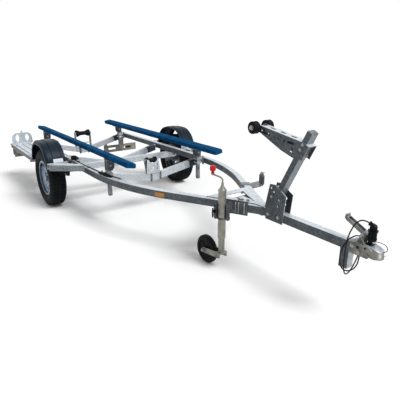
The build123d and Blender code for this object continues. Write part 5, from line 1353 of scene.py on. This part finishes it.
# welds, step plank, and a dark rail pad that is a painted shadow
weldSettings = {"hangerX": (130, 250), "hangerY": 613.6, "hangerZ": 487, "footX": (3026, 3082),
                "footY": 28.5, "footZ": 433.5}
plankSettings = {"first": -1309, "right": -866, "rows": 3, "count": 14, "pitchX": 66, "pitchY": 75.33,
                 "slot": (42, 12), "lip": 6, "top": 452,
                 "bolts": ((-1090, -852), (-1090, -654), (-480, -852), (-480, -654))}
railShadowPadSettings = {"x": 965, "size": (0.150, 0.050, 0.009), "rib": (0.008, 0.044, 0.004), "pitch": 0.02}


def addBead(mesh, start, stop, radius):       # lumpy run of weld between two places
    count = max(6, int((stop - start).length / (radius * 1.1)))
    points = [start + (stop - start) * k / count for k in range(count + 1)]
    swell = [0.9 + 0.16 * (k % 2) + 0.08 * math.sin(k * 2.3) for k in range(count + 1)]
    addTube(mesh, points, radius, 8, [0.55] + swell[1:-1] + [0.55])


def makeWelds(s):
    mesh = bmesh.new()
    (hanger0, hanger1), (foot0, foot1) = s["hangerX"], s["footX"]
    for side in (-1, 1):
        y = side * s["hangerY"]
        addBead(mesh, at(hanger0, y, s["hangerZ"]), at(hanger1, y, s["hangerZ"]), 0.0032)
        y = side * s["footY"]
        addBead(mesh, at(foot0, y, s["footZ"]), at(foot1, y, s["footZ"]), 0.003)
    for x in s["footX"]:
        addBead(mesh, at(x, -s["footY"], s["footZ"]), at(x, s["footY"], s["footZ"]), 0.003)
    return finishPiece("weldBeads", mesh, galvanised, "frame")


def makePlankBolts(s):                        # down into the outriggers
    mesh = bmesh.new()
    for x, y in s["bolts"]:
        addBolt(mesh, at(x, y, s["top"]), (0, 0, 1), 0.009)
    return finishPiece("plankBolts", mesh, boltZinc, "frame")


def makeSlotLips(s):                          # raised lip round every slot of the step plank
    mesh = bmesh.new()
    long, wide = s["slot"]
    outer = ((long + s["lip"]) / 1000, (wide + s["lip"]) / 1000)
    for row in range(s["rows"]):
        for k in range(s["count"]):
            x = s["first"] + s["pitchX"] * k + (s["pitchX"] / 2 if row % 2 else 0) + long / 2
            spot = Matrix.Translation(at(x, s["right"] + s["pitchY"] * (row + 0.5), s["top"] - 0.3))
            addSleeve(mesh, spot, outer, (long / 1000, wide / 1000), 0.0024, 0.0045, 0.0008)
    return finishPiece("slotLips", mesh, galvanised, "frame")


# dark ribbed rubber pad on the right rail's top beside the front post, standing for the bunk's shadow there:
# painted shadow
def makeRailShadowPad(s):
    mesh = bmesh.new()
    spot = railFrame(s["x"], -1, railSettings["top"])
    addBar(mesh, spot @ Matrix.Translation((0, 0.002, 0.0045)), s["size"], 0.003)
    for k in range(-3, 4):
        addBar(mesh, spot @ Matrix.Translation((k * s["pitch"], 0.002, 0.010)), s["rib"], 0.0015)
    return finishPiece("railShadowPad", mesh, rollerRubber, "frame")


makeWelds(weldSettings)
makePlankBolts(plankSettings)
makeSlotLips(plankSettings)
makeRailShadowPad(railShadowPadSettings)
print("welds, plank and pad added")


# stage, light and camera
stageSettings = {"floorSize": 60.0, "floor": 0.62, "floorSeen": 0.97, "world": 0.5}
sunSettings = {"power": 2.5, "angle": 24, "azimuth": 16, "elevation": 50}
cameraSettings = {"place": (4300, -1953, 1459), "heading": 144.105, "pitch": -18.793, "lens": 36.9,
                  "sensor": 36.0}


def seenDirectly(nodes):                      # 1 for what the camera sees, itself or mirrored in metal
    seen = nodes.node("LightPath", outlet="Is Camera Ray")
    return seen.atLeast(nodes.node("LightPath", outlet="Is Glossy Ray"))


def makeFloor(s):
    bpy.ops.mesh.primitive_plane_add(size=s["floorSize"], location=(0, 0, 0))
    floor = bpy.context.object
    floor.name = "floor"
    f = Finish("pale floor", Roughness=0.9, Specular_IOR_Level=0.0)
    f.set(Base_Color=f.mix(seenDirectly(f), grey(s["floor"]), grey(s["floorSeen"])))
    floor.data.materials.append(f.material)


def makeWorld(s):
    world = bpy.data.worlds.new("studio")
    bpy.context.scene.world = world
    world.use_nodes = True
    nodes = Nodes(world.node_tree)
    back = nodes.tree.nodes["Background"]
    nodes.feed(back.inputs["Color"], grey(1))
    nodes.feed(back.inputs["Strength"], nodes.ramp(seenDirectly(nodes), 0.0, 1.0, s["world"], 1.0))


def pointingAt(heading, pitch):
    a, e = math.radians(heading), math.radians(pitch)
    return Vector((math.cos(a) * math.cos(e), math.sin(a) * math.cos(e), math.sin(e)))


def makeSun(s):
    lamp = bpy.data.lights.new("key", "SUN")
    lamp.energy = s["power"]
    lamp.angle = math.radians(s["angle"])
    thing = bpy.data.objects.new("key", lamp)
    thing.rotation_mode = "QUATERNION"
    thing.rotation_quaternion = pointingAt(s["azimuth"], s["elevation"]).to_track_quat("Z", "Y")
    bpy.context.collection.objects.link(thing)


def makeCamera(s):
    lens = bpy.data.cameras.new("camera")
    lens.lens = s["lens"]
    lens.sensor_width = s["sensor"]
    thing = bpy.data.objects.new("camera", lens)
    thing.location = at(*s["place"])
    thing.rotation_mode = "QUATERNION"
    thing.rotation_quaternion = pointingAt(s["heading"], s["pitch"]).to_track_quat("-Z", "Y")
    bpy.context.collection.objects.link(thing)
    bpy.context.scene.camera = thing


makeFloor(stageSettings)
makeWorld(stageSettings)
makeSun(sunSettings)
makeCamera(cameraSettings)
bpy.context.scene.view_settings.view_transform = "Standard"
print("stage, light and camera set")
